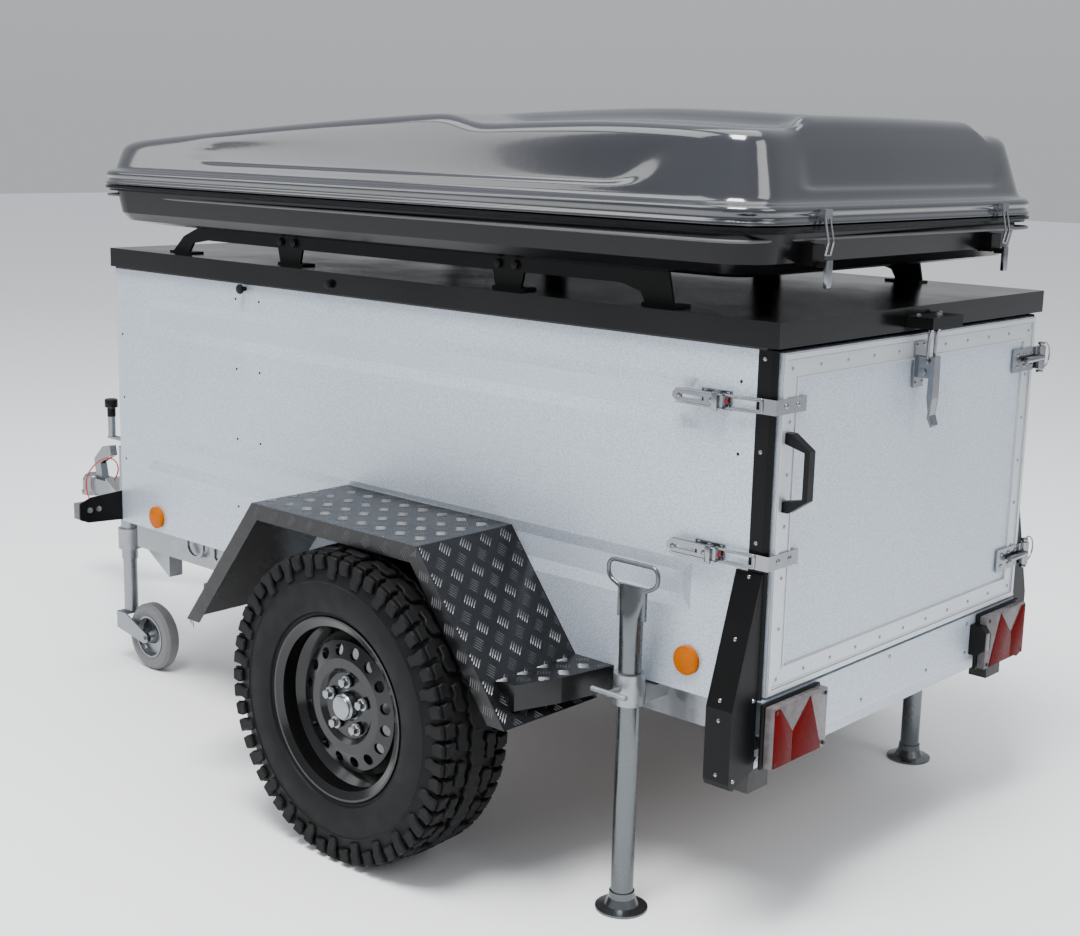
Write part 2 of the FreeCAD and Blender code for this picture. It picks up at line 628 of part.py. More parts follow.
def makeLamps():
    base = block("tailHousing", "tailBase", "tailWide", "tailTall", "midX - gateRear - tailBase",
                 "boxHalf + 6 - tailWide", "sillFold - 30")
    glass = [("boxHalf + 10 - tailWide", "sillFold - 26"), ("boxHalf + 2", "sillFold - 26"),
             ("boxHalf + 2", "sillFold + tailTall - 34"), ("boxHalf + 10 - tailWide", "sillFold + tailTall - 34")]
    lens = pad("tailGlass", "YZ", glass, "tailLens", x="midX - gateRear - tailBase - tailLens")
    corners = [rod(f"tailScrew{index}", 7, "tailLens + 3", "midX - gateRear - tailBase - tailLens - 3", y, z, "X")
               for index, (y, z) in enumerate((y, z) for y in ("boxHalf + 20 - tailWide", "boxHalf - 8")
                                              for z in ("sillFold - 16", "sillFold + tailTall - 44"))]
    tail = join("tailLampLeft", base, lens, *corners)
    keep("tail_lamps", together("tailLamps", tail, mirrored("tailLampRight", tail)))
    shade = [("midX - gateRear", "sillFold + 12"), ("midX - gateRear - 20", "sillFold + 12"),
             ("midX - gateRear - 44", "sillFold + 30"), ("midX - gateRear - 44", "sillFold + 66"),
             ("midX - gateRear - 30", "sillFold + 84"), ("midX - gateRear", "sillFold + 84")]
    keep("plate_lamp", pad("plateLamp", "XZ", shade, 22, y="tailWide - boxHalf - 6 + seatGap"))
    plate = [("boxHalf - 40", 492), ("boxHalf - 40", 580), ("boxHalf + 100", 573), ("boxHalf + 136", 560),
             ("boxHalf + 136", 512), ("boxHalf + 112", 502)]
    bracket = pad("markerBracket", "YZ", plate, 4, x="midX + boxFront")
    keep("marker_brackets", together("markerBrackets", bracket, mirrored("markerBracketRight", bracket)))
    lamp = block("markerLamp", 26, 48, 44, "midX + boxFront + 4", "boxHalf + 90", 514)
    keep("marker_lamps", together("markerLamps", lamp, mirrored("markerLampRight", lamp)))
    discs = []
    for place, x, z in (("Front", 923, 531), ("Rear", -911, 558)):
        disc = rod("reflector" + place, "reflectorRadius", "reflectorThick", f"midX + {x}", "boxHalf", z, "Y")
        discs += [disc, mirrored("reflectorRight" + place, disc)]
    keep("side_reflectors", together("sideReflectors", *discs))


def makeLoops():
    """A bent flat loop and a pointed lug with a slot under each side wall."""
    foot = "wallFoot"
    hoop = [("midX + loopX - 40", foot), ("midX + loopX - 40", f"{foot} - 30"), ("midX + loopX - 28", f"{foot} - 48"),
            ("midX + loopX - 10", f"{foot} - 57"), ("midX + loopX + 10", f"{foot} - 57"),
            ("midX + loopX + 28", f"{foot} - 48"), ("midX + loopX + 40", f"{foot} - 30"), ("midX + loopX + 40", foot)]
    gap = [("midX + loopX - 30", f"{foot} - 8"), ("midX + loopX - 30", f"{foot} - 28"),
           ("midX + loopX - 21", f"{foot} - 41"), ("midX + loopX - 8", f"{foot} - 48"),
           ("midX + loopX + 8", f"{foot} - 48"), ("midX + loopX + 21", f"{foot} - 41"),
           ("midX + loopX + 30", f"{foot} - 28"), ("midX + loopX + 30", f"{foot} - 8")]
    lug = [("midX + lugX - 32", foot), ("midX + lugX - 30", f"{foot} - 26"), ("midX + lugX - 12", f"{foot} - 54"),
           ("midX + lugX + 12", f"{foot} - 54"), ("midX + lugX + 30", f"{foot} - 26"), ("midX + lugX + 32", foot)]
    slot = [("midX + lugX - 9", f"{foot} - 12"), ("midX + lugX - 9", f"{foot} - 36"), ("midX + lugX", f"{foot} - 44"),
            ("midX + lugX + 9", f"{foot} - 36"), ("midX + lugX + 9", f"{foot} - 12"), ("midX + lugX", f"{foot} - 6")]
    loops = []
    for name, outline, hole in (("Front", hoop, gap), ("Middle", lug, slot)):
        loop = pad("loop" + name, "XZ", outline, "loopSteel", y="boxHalf - 30", holes=[hole])
        loops += [loop, mirrored("loopRight" + name, loop)]
    keep("lashing_loops", together("lashingLoops", *loops))


def makeLid():
    outer = block("lidOuter", "2 * lidHalfLong", "2 * lidHalfWide", "skirtTall", "midX - lidHalfLong",
                  "-lidHalfWide", "lidFoot")
    inner = block("lidInner", "2 * lidHalfLong - 60", "2 * lidHalfWide - 60", "skirtTall - lidSheet",
                  "midX - lidHalfLong + 30", "30 - lidHalfWide", "lidFoot")
    keep("lid_pan", cut("lidPan", outer, inner))
    top = "lidFoot + skirtTall"
    side = [("midX + 885", top), ("midX + 812", top), ("midX + 790", f"{top} + 30"), ("midX + 730", "railTop - 30"),
            ("midX + 438", "railTop - 30"), ("midX + 428", top), ("midX + 354", top), ("midX + 344", "railTop - 30"),
            ("midX - 306", "railTop - 30"), ("midX - 316", top), ("midX - 390", top), ("midX - 400", "railTop - 30"),
            ("midX - 670", "railTop - 30"), ("midX - 722", f"{top} + 26"), ("midX - 738", top), ("midX - 810", top),
            ("midX - 794", "railTop"), ("midX + 771", "railTop"), ("midX + 832", "railTop - 24")]
    web = pad("railWeb", "XZ", side, "railPlate", y="railY - railPlate / 2")
    feet = [block(f"railFoot{index}", 96, 40, 5, f"midX + {x}", "railY - 37", top)
            for index, x in enumerate((800, 343, -401, -822))]
    rail = join("railLeft", web, *feet)
    keep("lid_rails", together("lidRails", rail, mirrored("railRight", rail)))
    catch = join("catchMass", block("catchTop", 60, 128, 4, "midX - lidHalfLong - 60", -46, "lidFoot + 28"),
                 block("catchLeft", 60, 4, 24, "midX - lidHalfLong - 60", 78, "lidFoot + 8"),
                 block("catchRight", 60, 4, 24, "midX - lidHalfLong - 60", -46, "lidFoot + 8"),
                 block("catchRear", 4, 128, 24, "midX - lidHalfLong - 60", -46, "lidFoot + 8"))
    rootLeaves, lidLeaves = [], []
    for name, y in (("Left", 330), ("Right", -430)):
        low = block("hingeLow" + name, 4, 99, 48, "midX + boxFront", y, "wallTop - 60")
        knuckle = rod("hingeKnuckle" + name, 6, 48, "midX + boxFront + 10", y, "wallTop + 1", "Y")
        neck = block("hingeNeck" + name, 10, 48, 18, "midX + boxFront", y, "wallTop - 17")
        pin = rod("hingePin" + name, 3, 99, "midX + boxFront + 10", y, "wallTop + 1", "Y")
        rootLeaves.append(join("hingeRoot" + name, low, knuckle, neck, pin))
        high = block("hingeHigh" + name, 4, 48, 34, "midX + lidHalfLong", f"{y} + 51", "lidFoot + 2")
        ear = rod("hingeEar" + name, 6, 48, "midX + boxFront + 10", f"{y} + 51", "wallTop + 1", "Y")
        arm = block("hingeArm" + name, 6, 48, 9, "midX + lidHalfLong", f"{y} + 51", "wallTop + 4")
        bore = rod("hingeBore" + name, 3.3, 60, "midX + boxFront + 10", f"{y} + 45", "wallTop + 1", "Y")
        lidLeaves.append(cut("hingeLid" + name, join("hingeLidMass" + name, high, ear, arm), bore))
    keep("lid_hinge_leaves", together("lidHingeLeaves", *rootLeaves))
    keep("lid_fittings", together("lidFittings", catch, *lidLeaves))


def roundedRing(inset, level):
    """A rounded rectangle of the tent's outline, drawn in by an inset, at one height."""
    front = size("midX") + size("tentFront") - inset
    rear = size("midX") - size("tentRear") + inset
    half = size("tentHalf") - inset
    radius = max(size("tentCorner") - inset * 0.5, 10)
    corner = radius * (1 - math.sqrt(0.5))
    spots = [(front - radius, -half), (front - corner, -half + corner), (front, -half + radius),
             (front, half - radius), (front - corner, half - corner), (front - radius, half),
             (rear + radius, half), (rear + corner, half - corner), (rear, half - radius),
             (rear, radius - half), (rear + corner, corner - half), (rear + radius, -half)]
    spots = [FreeCAD.Vector(x, y, level) for x, y in spots]
    edges = []
    for index in range(0, 12, 3):
        edges.append(Part.Arc(*spots[index:index + 3]).toShape())
        edges.append(Part.LineSegment(spots[index + 2], spots[(index + 3) % 12]).toShape())
    return Part.Wire(edges)


def underArch(front, peak, rear, low, near, far, start=None):
    """The space under an arch through three heights, over a lower level and between two planes of y."""
    noses = [size("midX") + size("tentFront") + 20, size("midX") + size("archPeakX"),
             size("midX") - size("tentRear") - 20]
    first, top, last = (FreeCAD.Vector(x, near, z) for x, z in zip(noses, (front, peak, rear)))
    arch = Part.Arc(first, top, last).toShape()
    sides = Part.makePolygon([last, FreeCAD.Vector(last.x, near, low), FreeCAD.Vector(first.x, near, low), first])
    space = Part.Face(Part.Wire([arch, *sides.Edges])).extrude(FreeCAD.Vector(0, far - near, 0))
    if start is None:
        return space
    ahead = Part.makeBox(first.x - start, far - near, 400, FreeCAD.Vector(start, near, low))
    return space.cut(ahead)


def recess(outline, wedge, plane):
    """A shallow pressing that fades out upwards: an outline seen square on, as deep as its wedge."""
    if plane == "side":
        front = [FreeCAD.Vector(size("midX") + x, 0, z) for x, z in outline]
        flank = [FreeCAD.Vector(size("midX") - 1200, y, z) for y, z in wedge]
        runs = [FreeCAD.Vector(0, 900, 0), FreeCAD.Vector(2400, 0, 0)]
    else:
        front = [FreeCAD.Vector(size("midX") - 1300, y, z) for y, z in outline]
        flank = [FreeCAD.Vector(size("midX") + x, -600, z) for x, z in wedge]
        runs = [FreeCAD.Vector(1000, 0, 0), FreeCAD.Vector(0, 1200, 0)]
    slabs = [Part.Face(Part.makePolygon(ring + ring[:1])).extrude(run) for ring, run in zip((front, flank), runs)]
    return slabs[0].common(slabs[1])


def tentCap():
    """The arched upper shell: ribbed rim band, drawn-in sides, lower ledges beside a raised middle."""
    split, rim, roof, wall = size("tentSplit"), size("rimTop"), size("roofTop"), size("shellWall")
    half, step = size("ledgeHalf"), size("ledgeStep")
    band = Part.makeLoft([roundedRing(inset, level) for inset, level in
                          ((0, split + 0.5), (0, split + 9), (7, split + 12), (7, split + 22), (1, split + 25),
                           (4, rim))], True, True)
    sides = Part.makeLoft([roundedRing(22, rim), roundedRing(80, rim + 200)], True, True)
    crown = sides.common(underArch(size("archFront"), roof, size("archRear"), rim - 10, -700, 700))
    brim = [edge for edge in crown.Edges
            if min(edge.BoundBox.ZMin, edge.BoundBox.ZMax) > rim + 20 and edge.BoundBox.DiagonalLength > 1
            and abs(edge.tangentAt(edge.FirstParameter).z) < 0.5]
    crown = crown.makeFillet(size("roofRound"), brim)
    for near, far in ((half, 700), (-700, -half)):
        over = Part.makeBox(2400, far - near, 300, FreeCAD.Vector(size("midX") - 1250, near, rim + 60))
        kept = underArch(size("archFront") - step, roof - step, size("archRear") - 0.6 * step, rim, near, far)
        start = size("midX") + size("ledgeStart")
        ahead = Part.makeBox(1400, far - near, 400, FreeCAD.Vector(start, near, rim))
        crown = crown.cut(over.cut(kept).cut(ahead))
    foot, top = size("recessFoot"), size("recessTop")
    slope = 58 / 200
    depth = size("recessDepth")
    outside = [size("tentHalf") - 22 - slope * (foot - rim) - depth, size("tentHalf") - 22 - slope * (top - rim)]
    wedge = [(outside[0], foot - 4), (outside[0], foot), (outside[1], top), (800, top), (800, foot - 4)]
    outline = [(-818, top), (-815, foot + 38), (-733, foot), (658, foot), (676, foot + 22), (676, top)]
    left = recess(outline, wedge, "side")
    right = left.mirror(FreeCAD.Vector(), FreeCAD.Vector(0, 1, 0))
    behind = [22 - size("tentRear") + slope * (foot - rim) + depth, 22 - size("tentRear") + slope * (top - rim)]
    wedge = [(behind[0], foot - 4), (behind[0], foot), (behind[1], top), (-1250, top), (-1250, foot - 4)]
    outline = [(395, top), (395, foot + 30), (319, foot), (-383, foot), (-468, foot + 30), (-468, top)]
    crown = crown.cut(left).cut(right).cut(recess(outline, wedge, "rear"))
    inner = Part.makeLoft([roundedRing(46, split - 2), roundedRing(46, rim + 20), roundedRing(130, rim + 170)],
                          True, True)
    low = underArch(size("archFront") - step - wall, roof - step - wall, size("archRear") - step - wall, split - 10,
                    -700, 700)
    high = underArch(size("archFront") - wall - 6, roof - wall - 2, size("archRear") - wall - 6, split - 10,
                     20 - half, half - 20)
    return band.fuse(crown).removeSplitter().cut(inner.common(low.fuse(high)))


def makeTent():
    foot = size("railTop") + size("seatGap")
    split = size("tentSplit")
    wall = size("shellWall")
    outside = Part.makeLoft([roundedRing(95, foot), roundedRing(52, foot + 10), roundedRing(36, foot + 30),
                             roundedRing(26, split - 14)], True, True)
    lip = Part.makeLoft([roundedRing(8, split - 14), roundedRing(8, split - 10), roundedRing(0, split - 7),
                         roundedRing(0, split - 0.5)], True, True)
    room = Part.makeLoft([roundedRing(66, foot + wall + 16), roundedRing(46, split + 5)], True, True)
    base = outside.fuse(lip).removeSplitter().cut(room)
    keep("tent_base", formed("tentBase", base))
    keep("tent_cap", formed("tentCap", tentCap()))
    pack = Part.makeLoft([roundedRing(72, foot + wall + 16.3), roundedRing(54, split - 5)], True, True)
    core = Part.makeLoft([roundedRing(100, foot), roundedRing(100, split + 5)], True, True)
    keep("tent_fabric", formed("tentFabric", pack.cut(core)))
    bed = Part.makeLoft([roundedRing(104, foot + wall + 16.3), roundedRing(104, split - 5)], True, True)
    keep("tent_mattress", formed("tentMattress", bed))


def makeTentFittings():
    bails, levers, hinges, straps = [], [], [], []
    rear = size("midX") - size("tentRear")
    for name, y in (("Left", size("tentLatchY")), ("Right", -size("tentLatchY"))):
        eye = cut("tentEyeSeat" + name, block("tentEye" + name, 24, 26, 18, "midX - tentRear - 12", f"{y} - 13",
                                             "rimTop - 26"), pieces["tent_cap"])
        wires = [(rear - 9, y - 9, size("rimTop") - 22), (rear - 20, y - 9, size("rimTop") - 70),
                 (rear - 14, y - 9, size("rimTop") - 96)]
        pair = [formed(f"tentWire{name}{index}", wireForm([(x, yy + shift, z) for x, yy, z in wires], 2.5, 12))
                for index, shift in enumerate((0, 18))]
        bar = rod("tentBar" + name, 2.5, 18, rear - 14, y - 9, f"rimTop - 96", "Y")
        bails.append(join("tentBail" + name, eye, *pair, bar))
        plate = cut("tentSeat" + name, block("tentPlate" + name, 36, 44, 40, "midX - tentRear + 6", f"{y} - 22",
                                            "railTop + 26"), pieces["tent_base"])
        lever = block("tentLever" + name, 6, 16, 50, "midX - tentRear - 20", f"{y} - 8", "railTop - 14")
        neck = block("tentNeck" + name, 26, 10, 12, "midX - tentRear - 18", f"{y} - 5", "railTop + 22")
        levers.append(join("tentLatch" + name, plate, lever, neck))
    for name, y in (("Left", "tentHingeLeft"), ("Right", "tentHingeRight")):
        pinZ = "tentSplit"
        knuckle = rod("tentKnuckle" + name, 6, 48, "midX + tentFront + 7", y, pinZ, "Y")
        leaf = block("tentLeaf" + name, 3, 48, 34, "midX + tentFront", y, f"{pinZ} - 36")
        pin = rod("tentPin" + name, 3, 99, "midX + tentFront + 7", y, pinZ, "Y")
        heel = cut("tentHeelSeat" + name, block("tentHeel" + name, 34, 48, 20, "midX + tentFront - 32", y,
                                                 f"{pinZ} - 36"), pieces["tent_base"])
        hinges.append(join("tentHinge" + name, knuckle, leaf, pin, heel))
        ear = rod("tentEar" + name, 6, 48, "midX + tentFront + 7", f"{y} + 51", pinZ, "Y")
        flap = block("tentFlap" + name, 3, 48, 34, "midX + tentFront", f"{y} + 51", f"{pinZ} + 2")
        bore = rod("tentBore" + name, 3.3, 60, "midX + tentFront + 7", f"{y} + 45", pinZ, "Y")
        straps.append(cut("tentStrap" + name, join("tentStrapMass" + name, ear, flap), bore))
    keep("tent_base_fittings", together("tentBaseFittings", *levers, *hinges))
    keep("tent_cap_fittings", together("tentCapFittings", *bails, *straps))


def makeGate():
    panel = block("gatePanel", "gateThick - frameProud", "2 * gateHalf", "gateTop - gateFoot",
                  "midX - gateRear + frameProud", "-gateHalf", "gateFoot")
    keep("gate_panel", panel)
    outer = block("gateFrameOuter", "frameProud", "2 * gateHalf", "gateTop - gateFoot", "midX - gateRear",
                  "-gateHalf", "gateFoot")
    inner = block("gateFrameInner", "frameProud * 3", "2 * (gateHalf - frameWide)",
                  "gateTop - gateFoot - 2 * frameWide", "midX - gateRear - frameProud", "frameWide - gateHalf",
                  "gateFoot + frameWide")
    keep("gate_frame", cut("gateFrame", outer, inner))
    face = "midX - gateRear"
    bow = [(face, "handleTop"), (f"{face} - 16", "handleTop"), (f"{face} - handleReach", "handleTop - 29"),
           (f"{face} - handleReach", "handleFoot + 29"), (f"{face} - 16", "handleFoot"), (face, "handleFoot"),
           (face, "handleFoot + 21"), (f"{face} - handleReach + 12", "handleFoot + 31"),
           (f"{face} - handleReach + 12", "handleTop - 33"), (face, "handleTop - 21")]
    keep("gate_handle", pad("gateHandle", "XZ", bow, "handleWide", y="handleY - handleWide / 2"))
    rootHalves, gateHalves = [], []
    for name, z in (("Upper", "hingeUpper"), ("Lower", "hingeLower")):
        leaf = block("gateLeaf" + name, 4, 104, 54, "midX - gateRear - 4", "-gateHalf", z)
        barrel = rod("gateBarrel" + name, "gatePinRadius + 6", 26, "midX - gatePinX", "-gatePinY", f"{z} + 28")
        link = block("gateLink" + name, 8, "gatePinY - gateHalf", 26, "midX - gateRear - 8", "-gatePinY", f"{z} + 28")
        bore = rod("gateBore" + name, "gatePinRadius + 0.3", 60, "midX - gatePinX", "-gatePinY", f"{z} + 20")
        gateHalves.append(cut("gateHinge" + name, join("gateHingeMass" + name, leaf, barrel, link), bore))
        lug = rod("postBarrel" + name, "gatePinRadius + 6", 26, "midX - gatePinX", "-gatePinY", z)
        ear = block("postEar" + name, 4, "gatePinY + 6 - gateHalf - gateGap", 26, "midX - gateRear + gateGap - 4",
                    "-gatePinY - 6", z)
        pin = rod("postPin" + name, "gatePinRadius", 64, "midX - gatePinX", "-gatePinY", z)
        rootHalves.append(join("postHinge" + name, lug, ear, pin))
    keep("gate_hinge_leaves", together("gateHingeLeaves", *gateHalves))
    keep("gate_hinge_pins", together("gateHingePins", *rootHalves))


def makeLatches():
    """Over-centre latches: levers on the side wall, hooks and bails on the gate."""
    hooks, levers = [], []
    side = size("boxHalf")
    for name, place in (("Upper", "hookUpper"), ("Lower", "hookLower")):
        z = size(place)
        strap = block("hookStrap" + name, 4, "hookStrap", 30, "midX - gateRear - 4", "boxHalf + 4 - hookStrap",
                      f"{place} - 15")
        wrap = block("hookWrap" + name, 38, 5, 30, "midX - gateRear - 4", "boxHalf + 5", f"{place} - 15")
        bridge = block("hookBridge" + name, 4, 12, 30, "midX - gateRear - 4", "boxHalf - 3", f"{place} - 15")
        bar = size("midX") + size("bailX")
        tip = size("midX") - 1000
        wires = [formed(f"bailWire{name}{index}", wireForm([(bar, side + 10, z + shift), (tip, side + 14, z + shift)],
                                                         2.5, 5)) for index, shift in enumerate((-10, 10))]
        end = rod("bailEnd" + name, 2.5, 20, "midX + bailX", "boxHalf + 10", f"{place} - 10")
        hooks.append(join("gateHook" + name, strap, bridge, wrap, *wires, end))
        base = block("latchBase" + name, 70, 6, 38, "midX - 992", "boxHalf", f"{place} - 19")
        cheek = block("latchCheek" + name, 30, 18, 20, "midX - 985", "boxHalf", f"{place} - 10")
        outline = [("midX - 985", f"{place} - 14"), ("midX - 945", f"{place} - 14"), ("midX - 872", f"{place} - 10"),
                   ("midX - 863", f"{place} - 4"), ("midX - 863", f"{place} + 6"), ("midX - 872", f"{place} + 12"),
                   ("midX - 945", f"{place} + 14"), ("midX - 985", f"{place} + 14")]
        slot = [("midX - 940", f"{place} - 4"), ("midX - 884", f"{place} - 3"), ("midX - 884", f"{place} + 4"),
                ("midX - 940", f"{place} + 4")]
        lever = pad("latchLever" + name, "XZ", outline, 6, y="boxHalf + 18", holes=[slot])
        levers.append(join("sideLatch" + name, base, cheek, lever))
    keep("gate_hooks", together("gateHooks", *hooks))
    keep("side_latches", together("sideLatches", *levers))
    base = block("lidLatchBase", 5, 40, 98, "midX - gateRear - 5", -2, 1090)
    cheeks = block("lidLatchCheeks", 38, 24, 44, "midX - gateRear - 40", 6, 1112)
    face = "midX - gateRear"
    curve = [(f"{face} - 38", 1160), (f"{face} - 46", 1160), (f"{face} - 47", 1070), (f"{face} - 43", 1034),
             (f"{face} - 52", 1014), (f"{face} - 46", 1008), (f"{face} - 36", 1028), (f"{face} - 39", 1070)]
    lever = pad("lidLatchLever", "XZ", curve, 22, y=7)
    wires = [rod(f"lidLatchWire{index}", 3, 66, "midX - gateRear - 30", y, 1148) for index, y in enumerate((4, 32))]
    links = [rod(f"lidLatchLink{index}", 3, 30, "midX - gateRear - 30", 3, z, "Y") for index, z in enumerate((1150, 1211))]
    keep("lid_latch", join("lidLatch", base, cheeks, lever, *wires, *links))


def makeSteadyLegs():
    tube = cut("legTube", rod("legTubeOuter", "legRadius", "legTubeTop - 8", "midX + legX", "legY", 8),
               rod("legTubeInner", "legRadius - tubeWall", "legTubeTop - 12", "midX + legX", "legY", 4))
    fish = block("legFlat", 72, 7, "legLoopTop - 52 - legTubeTop + 4", "midX + legX - 36", "legY - 3.5",
                 "legTubeTop - 4")
    x, y, top = size("midX") + size("legX"), size("legY"), size("legLoopTop")
    loop = [(x - 30, y, top - 60), (x - 64, y, top - 44), (x - 64, y, top - 5), (x + 64, y, top - 5),
            (x + 64, y, top - 44), (x + 30, y, top - 60)]
    bow = formed("legLoop", wireForm(loop, 4.5, 22))
    plate = [(0, 0), ("footRadius", 0), ("footRadius", 5), (36, 10), (28, 26), ("legRadius + 3", 40),
             ("legRadius - 1", 40), ("legRadius - 1", 8), (0, 8)]
    foot = turned("legFoot", "XZ", plate, "V", x="midX + legX", y="legY")
    leg = keep("leg_left", join("legLeft", tube, fish, bow, foot))
    keep("leg_right", mirrored("legRight", leg))
    ring = rod("clampRing", "legRadius + 9", "clampTall", "midX + legX", "legY", "clampLow")
    hole = rod("clampHole", "legRadius + 0.3", "clampTall + 10", "midX + legX", "legY", "clampLow - 5")
    arm = block("clampArm", 50, "legY - legRadius - railHalf - railWide / 2", 30, "midX + legX - 25",
                "railHalf + railWide / 2", "clampLow")
    handle = rod("clampHandle", 6, 40, "midX + legX", "legY + legRadius + 4", "clampLow + clampTall / 2 + 3", "Y")
    bar = rod("clampBar", 5.5, 90, "midX + legX - 45", "legY + legRadius + 41", "clampLow + clampTall / 2 + 3", "X")
    clamp = join("clampLeft", cut("clampBody", join("clampMass", ring, arm), hole), handle, bar)
    keep("leg_clamps", together("legClamps", clamp, mirrored("clampRight", clamp)))


def makeJockey():
    x, y = "midX + jockeyX", "jockeyY"
    outer = cut("jockeySleeve", rod("jockeySleeveOuter", "jockeyRadius", "jockeyTubeTop - jockeyTubeLow", x, y,
                                    "jockeyTubeLow"),
                rod("jockeySleeveBore", "jockeyRadius - tubeWall", "jockeyTubeTop - jockeyTubeLow - 12", x, y,
                    "jockeyTubeLow - 1"))
    crank = join("jockeyCrank", rod("crankSpindle", 9, 18, x, y, "jockeyTubeTop"),
                 block("crankArm", 98, 20, 7, "midX + jockeyX - 12", "jockeyY - 10", "jockeyTubeTop + 14"),
                 rod("crankStem", 11, 94, "midX + jockeyX + 76", y, "jockeyTubeTop + 18"),
                 rod("crankKnob", 18.5, 24, "midX + jockeyX + 76", y, "jockeyTubeTop + 108"))
    keep("jockey_tube", join("jockeyTube", outer, crank))
    inner = cut("jockeyPost", rod("jockeyPostOuter", "jockeyRadius - tubeWall - 1", 340, x, y, 156),
                rod("jockeyPostBore", 10.4, 30, x, y, 150))
    keep("jockey_post", inner)
    ring = rod("jockeyClampRing", "jockeyRadius + 9", 62, x, y, "wallFoot - railTall - legTall")
    hole = rod("jockeyClampHole", "jockeyRadius + 0.2", 80, x, y, "wallFoot - railTall - legTall - 8")
    arm = [("jockeyX + midX - 26", "jockeyY - 20"), ("jockeyX + midX - 26", "jockeyY - 44"),
           ("jockeyX + midX + 30", "jockeyY - 69"), ("jockeyX + midX + 30", "jockeyY - 20")]
    bridge = pad("jockeyBridge", "XY", arm, "legTall", z="wallFoot - railTall - legTall")
    leg = [("midX + legStart", "railHalf + legWide / 2"), ("midX + legStart", "railHalf - legWide / 2 - 40"),
           ("midX + legEnd", "legTipHalf - legWide / 2 - 40"), ("midX + legEnd", "legTipHalf + legWide / 2")]
    trim = pad("jockeyTrim", "XY", leg, "legTall + 20", z="wallFoot - railTall - legTall - 10")
    keep("jockey_clamp", cut("jockeyClamp", join("jockeyClampMass", ring, bridge), hole, trim))
    wheelX = "midX + jockeyX - jockeyTrail"
    half = "jockeyWheelWide / 2"
    arms = []
    cheek = [("midX + jockeyX + 24", 155), ("midX + jockeyX - 20", 155), (f"{wheelX} + 10", 120),
             (f"{wheelX} - 14", 110), (f"{wheelX} - 14", 90), (f"{wheelX} + 6", 82), ("midX + jockeyX + 24", 104)]
    for name, start in (("Left", f"jockeyY + {half} + 6"), ("Right", f"jockeyY - {half} - 11")):
        arms.append(pad("forkArm" + name, "XZ", cheek, 5, y=start))
    crown = block("forkCrown", 44, "jockeyWheelWide + 22", 5, "midX + jockeyX - 20", f"jockeyY - {half} - 11", 150)
    pivot = rod("forkPivot", 10, 22, x, y, 154)
    axle = rod("forkAxle", 6, "jockeyWheelWide + 34", wheelX, f"jockeyY - {half} - 17", "jockeyWheelRadius", "Y")
    keep("jockey_fork", join("jockeyFork", *arms, crown, pivot, axle))
    radius, wide, middle = size("jockeyWheelRadius"), size("jockeyWheelWide") / 2, size("jockeyY")
    centre = FreeCAD.Vector(size("midX") + size("jockeyX") - size("jockeyTrail"), 0, radius)
    across = [(6 - wide, 66), (-wide, 78), (3 - wide, radius - 8), (12 - wide, radius), (wide - 12, radius),
              (wide - 3, radius - 8), (wide, 78), (wide - 6, 66)]
    tyre = tyreCarcass(centre, [(middle + y, reach) for y, reach in across], 63, 40)
    keep("jockey_tyre", formed("jockeyTyre", tyre))
    place = dict(x=wheelX, y="jockeyY", z="jockeyWheelRadius")
    disc = [(f"-{half} + 4", 62.7), (f"-{half} + 4", 58), (-4, 54), (-4, 24), (f"-{half}", 16), (f"-{half}", 6.4),
            (half, 6.4), (half, 16), (4, 24), (4, 54), (f"{half} - 4", 58), (f"{half} - 4", 62.7)]
    keep("jockey_rim", turned("jockeyRim", "YZ", disc, "H", **place))


def makeCable():
    """A plastic-covered steel safety cable, bent in an arc over the coupling head."""
    side = [(1890, 412), (1862, 440), (1872, 476), (1912, 484), (1956, 474), (2002, 450), (2044, 416), (2068, 376),
            (2062, 336), (2036, 300), (2000, 280), (1955, 284), (1918, 312), (1905, 349)]
    route = [(size("midX") + x, size("cableY"), z) for x, z in side]
    keep("safety_cable", formed("safetyCable", wireForm(route, size("cableRadius"))))


makeChassis()
makeDrawbar()
makeCoupling()
makeAxle()
makeWheel()
makeBox()
makeFenders()
makeGuards()
makeLamps()
makeLoops()
makeLid()
makeTent()
makeTentFittings()
makeGate()
makeLatches()
makeSteadyLegs()
makeJockey()
makeCable()

document.recompute()

for item in document.Objects:
    troubles = [state for state in item.State if state in ("Invalid", "Error")]
    if troubles:
        raise RuntimeError(f"{item.Name} did not compute: {troubles}")

os.makedirs("parts", exist_ok=True)
for label, piece in pieces.items():
    shape = piece.Shape
    if shape.isNull() or not shape.isValid():
        raise RuntimeError(f"{label} has no valid shape")
    shape.exportStep(f"parts/{label}.step")
    print(label, len(shape.Solids), round(shape.Volume))
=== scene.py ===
import bmesh
import bpy
import json
import math
from mathutils import Matrix, Vector


